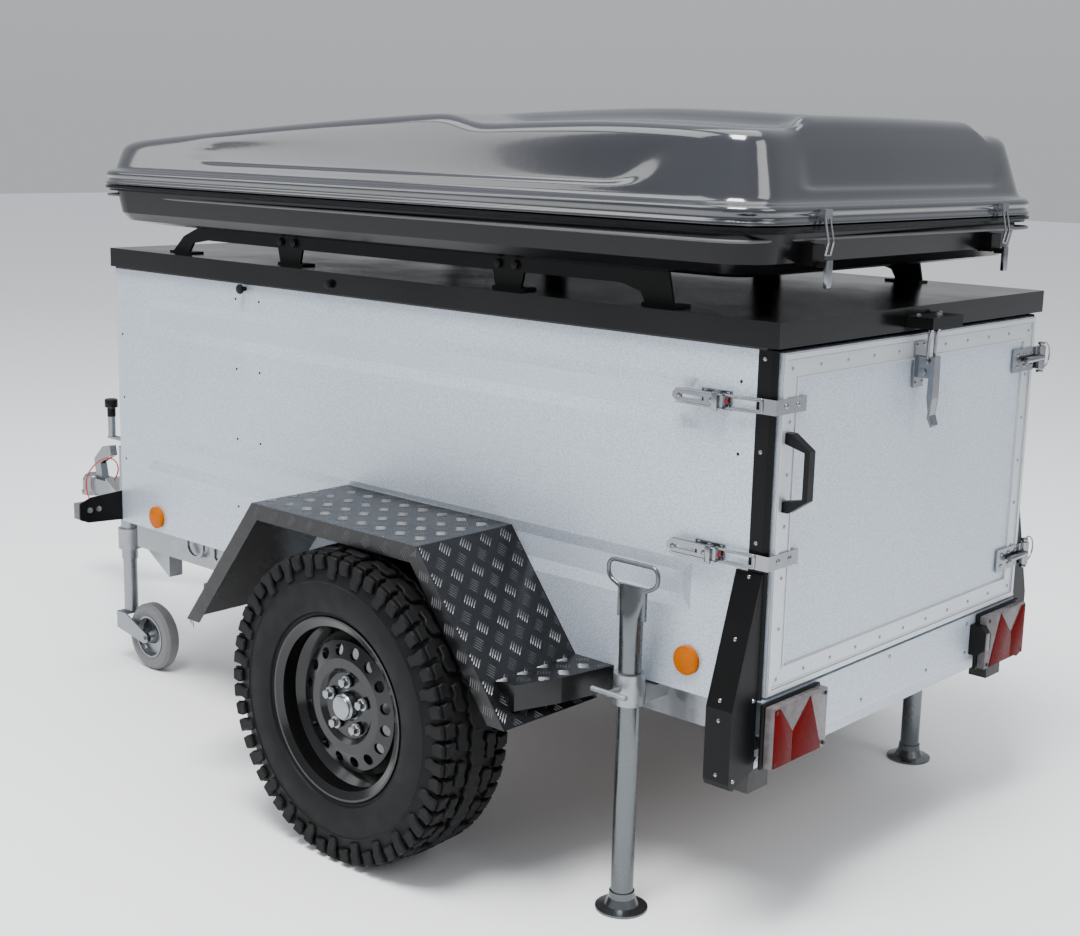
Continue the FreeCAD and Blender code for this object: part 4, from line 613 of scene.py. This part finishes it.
def makeFenderBars(f):
    bm = bmesh.new()
    wide = f["edge"] - f["wall"]
    slope = math.hypot(f["run"], f["drop"])
    front, rear = f["x"] + f["halfTop"], f["x"] - f["halfTop"]
    lift = 0.0001
    addPattern(bm, plateAt((rear, f["wall"], f["top"] + lift), (1, 0, 0), (0, 1, 0)), 2 * f["halfTop"], wide,
               (0.012, 0.02))
    slopes = (((front, f["wall"], f["top"]), (f["run"], 0, -f["drop"]), (0, 1, 0)),
              ((rear, f["edge"], f["top"]), (-f["run"], 0, -f["drop"]), (0, -1, 0)))
    for corner, along, across in slopes:
        place = plateAt(corner, along, across)
        addPattern(bm, place @ Matrix.Translation((0, 0, lift)), slope, wide, (0.02, 0.01))
    addPattern(bm, plateAt((front, f["edge"] + lift, f["top"] - f["lip"]), (-1, 0, 0), (0, 0, 1)),
               2 * f["halfTop"], f["lip"], (0.02, 0.019))
    for sign, start in ((1, front), (-1, rear)):
        along = Vector((sign * f["run"], 0, -f["drop"])).normalized()
        inward = Vector((-sign * f["drop"], 0, -f["run"])).normalized()
        corner = Vector((start, f["edge"] + lift, f["top"]))
        corner += along * slope if sign > 0 else inward * f["lip"]
        runs = (-along, inward) if sign > 0 else (along, -inward)
        addPattern(bm, plateAt(corner, *runs), slope - 0.01, f["lip"], (0.0, 0.019))
    reach = f["stepReach"]
    inner = f["halfTop"] + f["run"] * (f["top"] - f["stepTop"]) / f["drop"]
    stepWide = f["stepEdge"] - f["wall"]

    # whether a spot lies clear of the slanted end of a step
    def onStep(u, v):
        return u > f["stepRim"] + max(0, (v - f["stepCorner"]) * f["stepCut"]) + v * f["stepSlant"]

    steps = ((1, f["stepEdge"], lambda u, v: onStep(u, stepWide - v)), (-1, f["wall"], onStep))
    for sign, side, clear in steps:
        place = plateAt((f["x"] + sign * reach, side, f["stepTop"] + lift), (-sign, 0, 0), (0, -sign, 0))
        addPattern(bm, place, reach - inner, stepWide, (0.01, 0.02), clear)
    # the bars take the lighter checker finish: painted highlight
    addPiece("fenderBars", bm, "trailer", "checkerBar", mirror=True, angle=60, outward=False)


makeFenderBars(fender)
print("fender plates")

# box: rivets and knobs, gate frame, posts, guards, rear sheet

box = dict(wall=0.54, lidWall=0.552, railFace=0.5, gateFace=-1.0955, gateHalf=0.527, gateFoot=0.52,
           gateTop=1.203, frame=0.055)
rivet = dict(wall=0.0034, gate=0.0042, rear=0.0048, post=0.0045, guard=0.0047, proud=0.7)
wallRivets = [(1.07, (1.027, 0.85, 0.675)), (0.56, (1.167, 0.987, 0.804, 0.624)),
              (0.466, (1.167, 0.987, 0.804, 0.624)), (-1.01, (1.141, 0.999, 0.70))]
rearRivets = [(0.49, 0.497), (0.40, 0.497), (0.05, 0.497), (-0.30, 0.497), (-0.46, 0.497), (0.31, 0.425),
              (-0.12, 0.425), (-0.30, 0.425), (0.16, 0.425)]
postRivets = dict(x=-1.062, y=0.540, levels=(1.19, 1.01, 0.83))
# the guards' heads: on the slanted sheet by x and z, and on its upright faces with the way they point
guardSlope = dict(heads=[(-1.055, 0.763), (-1.055, 0.644), (-1.051, 0.5265)], top=(0.544, 0.772), lean=0.305,
                  out=(0, 0.952, 0.305))
guardHeads = [(-1.053, 0.624, 0.487, (0, 1, 0)), (-1.052, 0.624, 0.375, (0, 1, 0)),
              (-1.084, 0.552, 0.517, (-1, 0, 0)), (-1.084, 0.611, 0.366, (-1, 0, 0))]
knob = dict(x=0.52, z=1.196, neck=0.006, neckTall=0.012, head=0.0125, tall=0.022, edge=0.003)
lidKnob = dict(x=0.179, z=1.236, neck=0.0075, neckTall=0.005, head=0.0105, tall=0.012, edge=0.002)
railBolt = dict(spots=(0.424, 0.372, -0.324, -0.376), z=1.318, across=0.018, tall=0.007)


# a round knob that stands out of the left side on its neck
def addKnob(bm, wall, c, sides):
    x, z, foot = c["x"], c["z"], wall + c["neckTall"]
    addRod(bm, (x, wall - 0.001, z), (x, foot, z), c["neck"], 20)
    addRod(bm, (x, foot, z), (x, wall + c["tall"], z), c["head"], sides, edge=c["edge"])


def makeWallTrim():
    bm = bmesh.new()
    for x, levels in wallRivets:
        for z in levels:
            addRivet(bm, (x, box["wall"], z), (0, 1, 0), rivet["wall"])
    addPiece("wallRivets", bm, "trailer", "blackPlastic", mirror=True)
    bm = bmesh.new()
    addKnob(bm, box["wall"], knob, 28)
    addPiece("wallKnobs", bm, "trailer", "blackPlastic", mirror=True)
    bm = bmesh.new()
    addKnob(bm, box["lidWall"], lidKnob, 24)
    for x in railBolt["spots"]:
        addBolt(bm, (x, box["railFace"], railBolt["z"]), (0, 1, 0), railBolt["across"], railBolt["tall"])
    addPiece("lidKnobs", bm, "lid", "blackPlastic", mirror=True)


# the corners of a rectangle seen from behind
def rectangle(y0, y1, z0, z1, sign=1):
    return [(sign * y0, z0), (sign * y1, z0), (sign * y1, z1), (sign * y0, z1)]


# raised ridges round the gate's frame, its mitred seams and its rivets
def makeGateFrame():
    bm = bmesh.new()
    face, half, foot, top = box["gateFace"], box["gateHalf"], box["gateFoot"], box["gateTop"]
    for inset, wide, proud in ((0.0025, 0.010, 0.0032), (0.0145, 0.0025, 0.0012), (0.049, 0.0045, 0.0022)):
        outer = rectangle(-half + inset, half - inset, foot + inset, top - inset)
        inner = rectangle(-half + inset + wide, half - inset - wide, foot + inset + wide, top - inset - wide)
        rings = []
        for outline, depth in ((outer, 0.0002), (outer, proud), (inner, proud), (inner, 0.0002)):
            rings.append([bm.verts.new((face - depth, y, z)) for y, z in outline])
        joinRings(bm, rings)
    seam = Vector((0.0004, 0.037, 0.0005))
    for y, z in rectangle(-half, half, foot, top):
        inward = Vector((0, -math.copysign(1, y), 1 if z == foot else -1))
        middle = Vector((face - 0.0001, y, z)) + inward * box["frame"] / 2
        turn = Matrix.Rotation(math.atan2(inward.z, inward.y), 3, "X")
        addBlock(bm, middle - seam, middle + seam, turn=turn)
    addPiece("gateFrameRidges", bm, "gate", "profileAluminium", angle=20)
    bm = bmesh.new()
    middle = box["frame"] / 2 + 0.004
    spots = []
    for step in range(11):
        y = -half + middle + step * 2 * (half - middle) / 10
        spots += [(y, foot + middle), (y, top - middle)]
    for step in range(1, 6):
        z = foot + middle + step * (top - foot - 2 * middle) / 6
        spots += [(half - middle, z), (middle - half, z)]
    for y, z in spots:
        addRivet(bm, (face, y, z), (-1, 0, 0), rivet["gate"], 0.55, 12)
    addPiece("gateRivets", bm, "gate", "zincPlate")


def makeBodyBolts():
    bm = bmesh.new()
    for z in postRivets["levels"]:
        for sign in (1, -1):
            addRivet(bm, (postRivets["x"], sign * postRivets["y"], z), (0, sign, 0), rivet["post"], 0.6, 14)
    for y, z in rearRivets:
        addRivet(bm, (box["gateFace"], y, z), (-1, 0, 0), rivet["rear"], 0.5, 12)
    addPiece("rearBolts", bm, "trailer", "zincPlate")
    bm = bmesh.new()
    for x, z in guardSlope["heads"]:
        y = guardSlope["top"][0] + (guardSlope["top"][1] - z) * guardSlope["lean"]
        addRivet(bm, (x, y, z), guardSlope["out"], rivet["guard"], rivet["proud"], 14)
    for x, y, z, way in guardHeads:
        addRivet(bm, (x, y, z), way, rivet["guard"], rivet["proud"], 14)
    addPiece("guardBolts", bm, "trailer", "stainless", mirror=True)
    bm = bmesh.new()
    addBlock(bm, (-1.0957, -0.532, 0.4045), (-1.0953, 0.532, 0.4075))
    addPiece("sheetFold", bm, "trailer", "profileAluminium")


makeWallTrim()
makeGateFrame()
makeBodyBolts()
print("box trim")

# latches on the walls and the lid, gate hinge rings

latch = dict(levels=(1.101, 0.796), out=0.558, cheek=[(-0.985, 0.0145), (-0.945, 0.0145), (-0.872, 0.0115)],
             sheet=0.0025, leverRivets=(-0.955, -0.878), pivot=-0.968, baseRivets=(-0.985, -0.93),
             baseFace=0.546, hinge=-0.9815, hookRivets=(0.475, 0.515), hookFace=-1.0997,
             bail=[(-0.9815, 0.556, 0.012), (-1.02, 0.556, 0.013), (-1.062, 0.5505, 0.013),
                   (-1.0675, 0.5505, 0.013)])
lidLatch = dict(face=-1.0955, y=0.018, cheek=0.0125, sheet=0.002, pin=1.148, roller=1.125,
                wires=(0.0035, 0.0325), catch=1.245, catchBolt=(-1.137, 0.018),
                sideBolts=[(-1.115, -0.028), (-1.115, 0.064)],
                lever=[(-0.036, 1.158), (-0.046, 1.158), (-0.0475, 1.07), (-0.0435, 1.034), (-0.050, 1.016),
                       (-0.040, 1.03), (-0.033, 1.07)],
                rivets=[(0.004, 1.10), (0.032, 1.10), (0.004, 1.18), (0.032, 1.18)],
                wire=[(-0.030, 1.148), (-0.031, 1.18), (-0.033, 1.208), (-0.040, 1.222)])
hinge = dict(x=-1.103, y=-0.556, levels=(1.105, 0.625), knuckle=0.033, face=-1.0997,
             rivets=(-0.515, -0.480, -0.445), rivetRise=0.014, bolt=-1.109, boltEnd=-0.470,
             ringX=-1.0905, ringY=-0.600, ringRadius=0.031, eye=[(-1.0875, -0.539), (-1.0905, -0.580)],
             eyeRise=0.02)


def makeSideLatches(c):
    steel = bmesh.new()
    out = c["out"]
    for z in c["levels"]:
        for sign in (1, -1):
            for (x0, z0), (x1, _) in zip(c["cheek"], c["cheek"][1:]):
                lowZ, highZ = sorted((sign * z0, sign * (z0 - c["sheet"])))
                addBlock(steel, (x0, out - 0.006, z + lowZ), (x1, out + 0.0095, z + highZ), 0.0006)
        for x in c["leverRivets"]:
            addRivet(steel, (x, out + 0.006, z), (0, 1, 0), 0.0055, 0.5, 16)
        addBlock(steel, (-0.975, out - 0.004, z - 0.0175), (-0.9615, out + 0.012, z + 0.0175), 0.002, 2)
        addRod(steel, (c["pivot"], out + 0.004, z - 0.021), (c["pivot"], out + 0.004, z + 0.021), 0.0042, 16,
               edge=0.0008)
        for x in c["baseRivets"]:
            for rise in (0.0135, -0.0135):
                addRivet(steel, (x, c["baseFace"], z + rise), (0, 1, 0), 0.0045, 0.5, 14)
        addRod(steel, (c["hinge"], 0.556, z - 0.016), (c["hinge"], 0.556, z + 0.016), 0.0035, 14)
        for y in c["hookRivets"]:
            addRivet(steel, (c["hookFace"], y, z), (-1, 0, 0), 0.0062, 0.5, 16)
    addPiece("sideLatchTrim", steel, "trailer", "stainless")
    mark = bmesh.new()
    for z in c["levels"]:
        addBlock(mark, (-0.9875, 0.549, z - 0.005), (-0.9835, 0.5538, z + 0.005), 0.0008)
    addPiece("sideLatchMarks", mark, "trailer", "redCover")
    bails = []
    for z in c["levels"]:
        x, y, _ = c["bail"][-1]
        bails.append([(x, y, z + rise) for x, y, rise in c["bail"]] + [(x, y, z)]
                     + [(x, y, z - rise) for x, y, rise in reversed(c["bail"])])
    addWire("sideLatchBails", "gate", "stainless", bails, 0.0027)


def makeLidLatch(c):
    steel = bmesh.new()
    face, pin, roller = c["face"], c["pin"], c["roller"]
    for sign in (1, -1):
        place = Matrix.Translation((0, c["y"] + sign * c["cheek"] + 0.001, 0))
        place @= Matrix.Rotation(math.pi / 2, 4, "X")
        addPlate(steel, [(face + x, z) for x, z in c["lever"]], c["sheet"], place, 0.0004)
    addRod(steel, (face - 0.030, -0.004, pin), (face - 0.030, 0.040, pin), 0.0055, 20, edge=0.001)
    addRod(steel, (face - 0.020, 0.002, roller), (face - 0.020, 0.034, roller), 0.0085, 24, edge=0.001)
    for y, z in c["rivets"]:
        addRivet(steel, (face - 0.005, y, z), (-1, 0, 0), 0.0045, 0.5, 14)
    addBlock(steel, (face - 0.004, -0.018, 1.15), (face - 0.0005, -0.001, 1.185), 0.001)
    addPiece("lidLatchTrim", steel, "gate", "stainless")
    wires = [[(face + x, y, z) for x, z in c["wire"]] for y in c["wires"]]
    addWire("lidLatchWires", "gate", "stainless", wires, 0.0032)
    catch = bmesh.new()
    addBolt(catch, (*c["catchBolt"], c["catch"]), (0, 0, 1), 0.012, 0.006)
    for spot in c["sideBolts"]:
        addBolt(catch, (*spot, c["catch"]), (0, 0, 1), 0.009, 0.005)
    addPiece("lidCatchBolts", catch, "lid", "zincPlate")


# gate hinges, and their pull rings on eyes that stay with the post, clear of the open gate
def makeGateRings(c):
    steel, eyes, rings = bmesh.new(), bmesh.new(), []
    for z in c["levels"]:
        for rise in (-c["knuckle"], c["knuckle"]):
            addRod(steel, (c["x"], c["y"], z + rise - 0.003), (c["x"], c["y"], z + rise + 0.003), 0.0085, 20,
                   edge=0.001)
        for y in c["rivets"]:
            addRivet(steel, (c["face"], y, z + c["rivetRise"]), (-1, 0, 0), 0.0055, 0.5, 14)
            addRivet(steel, (c["face"], y, z - c["rivetRise"]), (-1, 0, 0), 0.0055, 0.5, 14)
        addRod(steel, (c["bolt"], c["boltEnd"], z), (c["bolt"], c["y"], z), 0.0075, 20, edge=0.001)
        angles = [math.tau * step / 14 + 2.6 for step in range(15)]
        rings.append([(c["ringX"], c["ringY"] + c["ringRadius"] * math.cos(angle),
                       z + c["ringRadius"] * math.sin(angle)) for angle in angles])
        addRod(eyes, *[(*spot, z + c["eyeRise"]) for spot in c["eye"]], 0.0022, 14)
    addPiece("gateHingeTrim", steel, "gate", "stainless")
    addWire("gateHingeRings", "trailer", "stainless", rings, 0.0018)
    addPiece("gateRingEyes", eyes, "trailer", "stainless")


makeSideLatches(latch)
makeLidLatch(lidLatch)
makeGateRings(hinge)
print("latches")

# lamps and reflectors

tail = dict(seat=-1.0958, face=-1.1055, proud=-1.1285, inner=0.346, outer=0.542, foot=0.380, top=0.508,
            rim=0.004,
            red=[[(0.02, 0.02), (0.02, 0.97), (0.11, 0.97), (0.35, 0.52), (0.35, 0.02)],
                 [(0.357, 0.02), (0.357, 0.50), (0.66, 0.975), (0.90, 0.02)]])


# a flat piece with its outline in Y and Z and its face to the rear
def addTile(bm, outline, back, front, edge):
    place = Matrix(((0, 0, -1, 0), (1, 0, 0, 0), (0, 1, 0, 0), (0, 0, 0, 1)))
    turned = outline if area(outline) > 0 else outline[::-1]
    addPlate(bm, turned, back - front, Matrix.Translation((back, 0, 0)) @ place, edge, 2)


def area(outline):
    after = outline[1:] + outline[:1]
    return sum(a[0] * b[1] - b[0] * a[1] for a, b in zip(outline, after)) / 2


def makeTailLamps(c):
    inner, outer, foot, top, rim = (c[word] for word in ("inner", "outer", "foot", "top", "rim"))
    for name, sign in (("Left", 1), ("Right", -1)):
        housing = bmesh.new()
        around = rectangle(inner - rim, outer + rim, foot - rim, top + rim, sign)
        addTile(housing, around, c["seat"], c["face"], 0.003)
        addPiece("tailHousing" + name, housing, "trailer", "blackPlastic", replaces=["tail_lamps"])
        clear = bmesh.new()
        addTile(clear, rectangle(inner, outer, foot, top, sign), c["face"], c["proud"] + 0.002, 0.003)
        addPiece("tailClear" + name, clear, "trailer", "clearLens")
        red = bmesh.new()
        for outline in c["red"]:
            corners = [(sign * (outer - share * (outer - inner)), foot + rise * (top - foot))
                       for share, rise in outline]
            addTile(red, corners, c["proud"] + 0.004, c["proud"], 0.0008)
        addPiece("tailRed" + name, red, "trailer", "redLens")
        screws = bmesh.new()
        for y, z in rectangle(inner + 0.010, outer - 0.010, foot + 0.010, top - 0.010, sign):
            addRod(screws, (c["proud"] + 0.003, y, z), (c["proud"] - 0.0005, y, z), 0.0042)
        addPiece("tailScrews" + name, screws, "trailer", "blackPlastic")
    bm = bmesh.new()
    addTile(bm, rectangle(-0.331, -0.315, 0.436, 0.478), -1.139, -1.1415, 0.001)
    addPiece("plateLampGlass", bm, "trailer", "clearLens")


nut = dict(x=(1.096, 1.089, 1.085), z=0.538, wide=0.008, narrow=0.0045)
grip = dict(x=1.361, y=0.394, ball=(0.7672, 0.7928), ballRadius=0.0193, stem=(0.740, 0.768), stemRadius=0.0125)


# the round nuts of the front markers, and the black grip of the jockey crank
def makeMarkerTrim():
    bm = bmesh.new()
    seat, step, tip = nut["x"]
    for y in (0.648, 0.620):
        addRod(bm, (seat, y, nut["z"]), (step, y, nut["z"]), nut["wide"], 24, edge=0.001)
        addRod(bm, (step, y, nut["z"]), (tip, y, nut["z"]), nut["narrow"])
    addPiece("markerNuts", bm, "trailer", "zincPlate", mirror=True)
    bm = bmesh.new()
    x, y = grip["x"], grip["y"]
    addRod(bm, *[(x, y, z) for z in grip["ball"]], grip["ballRadius"], 32, edge=0.003)
    addRod(bm, *[(x, y, z) for z in grip["stem"]], grip["stemRadius"], 24)
    addPiece("crankGrip", bm, "trailer", "blackPlastic")


def makeReflectors():
    for x, z in ((0.923, 0.531), (-0.911, 0.558)):
        bm = bmesh.new()
        for sign in (1, -1):
            place = facing((x, sign * 0.5466, z), (0, sign, 0))
            addTurned(bm, [(0.0305, 0), (0.0305, 0.002), (0.029, 0.0034), (0.027, 0.0028), (0.0262, 0.0038),
                           (0.014, 0.0056), (0, 0.006)], place)
        addPiece("reflector" + ("Front" if x > 0 else "Rear"), bm, "trailer", "amberLens", weld=True)


makeTailLamps(tail)
makeReflectors()
makeMarkerTrim()
print("lamps")

# steady legs: the tube drawn out flat below its loop

leg = dict(x=-0.81, y=0.6, sides=36,
           rings=[(0.585, 0.0242, 0.0242), (0.600, 0.0246, 0.0246), (0.6415, 0.0256, 0.0246),
                  (0.660, 0.0285, 0.0195), (0.680, 0.0330, 0.0110), (0.7040, 0.0372, 0.0060)])


def makeLegNecks(c):
    for side, sign in (("left", 1), ("right", -1)):
        bm = bmesh.new()
        angles = [math.tau * step / c["sides"] for step in range(c["sides"])]
        rings = [[bm.verts.new((c["x"] + halfX * math.cos(angle), sign * c["y"] + halfY * math.sin(angle), z))
                  for angle in angles] for z, halfX, halfY in c["rings"]]
        joinRings(bm, rings)
        bm.faces.new(rings[-1])
        # the neck takes the darker leg finish: painted shade
        addPiece("legNeck" + side.title(), bm, "steady_leg_" + side, "legZinc", angle=50)


makeLegNecks(leg)
print("legs")

# roof tent: gloss shell with its rim, ledges and pressings, seal, fabric wall and mattress

shell = dict(front=1.118, rear=-1.065, half=0.600, corner=0.110, rim=1.476, lean=0.29, inset=0.022, round=0.034,
             peakX=-0.62, peakZ=1.660, fall=0.0515, ledgeX=(-0.27, -0.17), ledgeY=0.341, ledgeDrop=0.028,
             wallSteps=10, roundSteps=4, roofSteps=17, wall=0.004, roofInset=0.105, sharp=0.0001,
             roundFrom=16.2, roundSpan=73.8, roundRest=0.6, roundFoot=0.721, roundSide=0.96,
             rimRows=[(0.004, 1.4374), (0.0, 1.4385), (0.0, 1.4455), (0.0065, 1.4495), (0.0065, 1.4565),
                      (0.001, 1.4610), (0.002, 1.4700), (0.008, 1.4760), (0.019, 1.4772)],
             wallLevels=[1.486, 1.497, 1.5025, 1.5075, 1.515, 1.527])
sidePress = dict(foot=1.505, top=1.596, rear=-0.818, front=0.676, curve=0.085, depth=0.006)
rearPress = dict(foot=1.505, top=1.596, low=-0.468, high=0.395, curve=0.075, depth=0.006)


def eased(value, low, high):
    share = min(max((value - low) / (high - low), 0), 1)
    return share * share * (3 - 2 * share)


# the shell's height over a spot: an arch along it, and lower ledges beside a raised middle
def roofHeight(x, y):
    arch = shell["peakZ"] - shell["fall"] * abs(x - shell["peakX"]) ** 1.5
    beside = eased(abs(y), shell["ledgeY"] - 0.006, shell["ledgeY"] + 0.006)
    behind = 1 - eased(x, *shell["ledgeX"])
    return arch - 0.006 * (y / shell["half"]) ** 2 - shell["ledgeDrop"] * beside * behind


# a spot on the tent's rounded outline, drawn in by an inset; u and v run from -1 to 1
def onOutline(u, v, inset, corner):
    middle, long = (shell["front"] + shell["rear"]) / 2, (shell["front"] - shell["rear"]) / 2 - inset
    wide = shell["half"] - inset
    x, y = abs(u) * long, abs(v) * wide
    overX, overY = x - long + corner, y - wide + corner
    if overX > 0 and overY > 0:
        reach = max(overX, overY) / math.hypot(overX, overY)
        x, y = long - corner + overX * reach, wide - corner + overY * reach
    return middle + math.copysign(x, u), math.copysign(y, v)


# how deep a pressing is at a place along it and a height: square at its foot, fading out upwards
def pressed(along, height, press, low, high):
    rise = min(max((height - press["foot"]) / 0.04, 0), 1)
    inside = eased(along, low - press["curve"] * rise, low - press["curve"] * rise + 0.03)
    inside *= 1 - eased(along, high - 0.02, high)
    return press["depth"] * inside * eased(height, press["foot"] - 0.004, press["foot"] + 0.003) * (
        1 - eased(height, press["foot"] + 0.012, press["top"]))


# the place of one corner of the grid on the shell: rim, wall, rounding or roof by its ring from the outside
def shellSpot(u, v, c):
    rows = len(c["rimRows"]) + c["wallSteps"] + c["roundSteps"]
    half = rows + c["roofSteps"]
    ring = max(abs(u), abs(v))
    su, sv = (u / ring, v / ring) if ring else (0, 0)
    index = round((1 - ring) * half)
    if index >= rows:
        x, y = onOutline(u * half / c["roofSteps"], v * half / c["roofSteps"], c["roofInset"], c["sharp"])
        return Vector((x, y, roofHeight(x, y)))
    height = roofHeight(*onOutline(su, sv, c["roofInset"], c["sharp"]))
    shoulder = height - c["roundFoot"] * c["round"]
    if index < len(c["rimRows"]):
        inset, z = c["rimRows"][index]
    elif index < len(c["rimRows"]) + c["wallSteps"]:
        step = index - len(c["rimRows"])
        even = c["rim"] + (shoulder - c["rim"]) * (step + 1) / c["wallSteps"]
        z = min(even, c["wallLevels"][step]) if step < len(c["wallLevels"]) else even
        inset = c["inset"] + c["lean"] * (z - c["rim"])
    else:
        step = index - len(c["rimRows"]) - c["wallSteps"] + 1
        turn = math.radians(c["roundFrom"] + c["roundSpan"] * step / (c["roundSteps"] + c["roundRest"]))
        inset = c["inset"] + c["lean"] * (shoulder - c["rim"]) + c["round"] * (c["roundSide"] - math.cos(turn))
        z = height - c["round"] + c["round"] * math.sin(turn)
    corner = max(c["corner"] - inset * 0.5, 0.03)
    x, y = onOutline(su, sv, inset, corner)
    if index >= len(c["rimRows"]):
        if abs(sv) == 1:
            y -= math.copysign(pressed(x, z, sidePress, sidePress["rear"] + 0.085, sidePress["front"]), y)
        if su == -1:
            x += pressed(y, z, rearPress, rearPress["low"] + 0.06, rearPress["high"])
    return Vector((x, y, z))


def makeShell(c):
    bm = bmesh.new()
    half = len(c["rimRows"]) + c["wallSteps"] + c["roundSteps"] + c["roofSteps"]
    bmesh.ops.create_grid(bm, x_segments=2 * half, y_segments=2 * half, size=1)
    for corner in bm.verts:
        u, v = (round(share * half) / half for share in corner.co[:2])
        corner.co = shellSpot(u, v, c)
    cover = addPiece("tentShell", bm, "tent_top", "glossShell", replaces=["tent_cap"], angle=60)
    thick = cover.modifiers.new("wall", "SOLIDIFY")
    thick.thickness = c["wall"]
    smooth = cover.modifiers.new("smooth", "SUBSURF")
    smooth.levels = smooth.render_levels = 1


# a closed line round the tent at an inset and a height
def aroundTent(inset, z):
    corner, steps, halfLong = shell["corner"] - inset * 0.5, 7, 1.09
    path = []
    for su, sv in ((1, 1), (-1, 1), (-1, -1), (1, -1)):
        for step in range(steps):
            lean = step / (steps - 1)
            u, v = (1, lean) if su * sv > 0 else (lean, 1)
            share = 1 - corner * (1 - lean) / (shell["half"] if u == 1 else halfLong)
            spot = (share, 1) if u != 1 else (1, share)
            path.append((*onOutline(su * spot[0], sv * spot[1], inset, corner), z))
    return path


fabric = dict(folds=8, low=1.361, high=1.430, segments=160, inset=0.060, pleat=0.009, corner=0.07, thick=0.0012)
mattress = dict(low=(-0.955, -0.490, 1.359), high=(1.018, 0.490, 1.426), rise=0.004, crown=0.022, tuft=0.006)


def makeTentFabric(c):
    bm = bmesh.new()
    folds, low, high = c["folds"], c["low"], c["high"]
    bmesh.ops.create_cone(bm, cap_ends=False, segments=c["segments"], radius1=1, radius2=1, depth=folds)
    levels = sorted({round(corner.co.z, 3) for corner in bm.verts})
    upright = [edge for edge in bm.edges if abs(edge.verts[0].co.z - edge.verts[1].co.z) > 1]
    bmesh.ops.subdivide_edges(bm, edges=upright, cuts=folds - 1)
    for corner in bm.verts:
        share = (corner.co.z - levels[0]) / (levels[-1] - levels[0])
        angle = math.atan2(corner.co.y, corner.co.x)
        reach = max(abs(math.cos(angle)), abs(math.sin(angle)))
        inset = c["inset"] + c["pleat"] * (round(share * folds) % 2)
        x, y = onOutline(math.cos(angle) / reach, math.sin(angle) / reach, inset, c["corner"])
        corner.co = (x, y, low + (high - low) * share)
    cloth = addPiece("tentCanvas", bm, None, "tentCanvas", replaces=["tent_fabric"], angle=80)
    thick = cloth.modifiers.new("cloth", "SOLIDIFY")
    thick.thickness = c["thick"]
    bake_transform(cloth)


# a pad with a crowned and tufted top, and the same upside down below
def makeMattress(c):
    bm = bmesh.new()
    low, high = Vector(c["low"]), Vector(c["high"])
    middle = (low.z + high.z) / 2
    bmesh.ops.create_grid(bm, x_segments=60, y_segments=32, size=1)
    for corner in bm.verts:
        u, v = corner.co.x, corner.co.y
        crown = (1 - abs(u) ** 8) * (1 - abs(v) ** 6)
        tuft = c["tuft"] * abs(math.sin(math.pi * 4.5 * u)) * abs(math.cos(math.pi * 2 * v))
        rise = c["rise"] + crown * c["crown"] + tuft * crown if max(abs(u), abs(v)) < 1 else 0
        corner.co = ((low.x + high.x) / 2 + u * (high.x - low.x) / 2, v * (high.y - low.y) / 2, middle + rise)
    under = doubled(bm)
    for corner in cornersOf(under):
        corner.co.z = middle - (corner.co.z - middle)
    bmesh.ops.reverse_faces(bm, faces=[item for item in under if isinstance(item, bmesh.types.BMFace)])
    pad = addPiece("tentMattress", bm, "lid", "mattressCover", replaces=["tent_mattress"], angle=50, weld=True)
    smooth = pad.modifiers.new("smooth", "SUBSURF")
    smooth.levels = smooth.render_levels = 1


def makeTentTrim():
    seal = aroundTent(inset=0.0035, z=1.4085)
    addWire("tentSeal", "lid", "sealStrip", [seal + seal[:1]], 0.0038)
    bolts = bmesh.new()
    for side in (-1, 1):
        for x in (0.70, -0.60):
            addBolt(bolts, (x, side * 0.48, 1.333), (0, 0, 1), 0.012, 0.005)
    addPiece("tentRailBolts", bolts, "lid", "zincPlate")
    levers = bmesh.new()
    for y in (-0.37, 0.37):
        addBlock(levers, (-1.0872, y - 0.0095, 1.3165), (-1.0775, y + 0.0095, 1.371), 0.002, 2)
    addPiece("tentLevers", levers, "lid", "stainless")


makeShell(shell)
makeTentFabric(fabric)
makeMattress(mattress)
makeTentTrim()
print("roof tent")
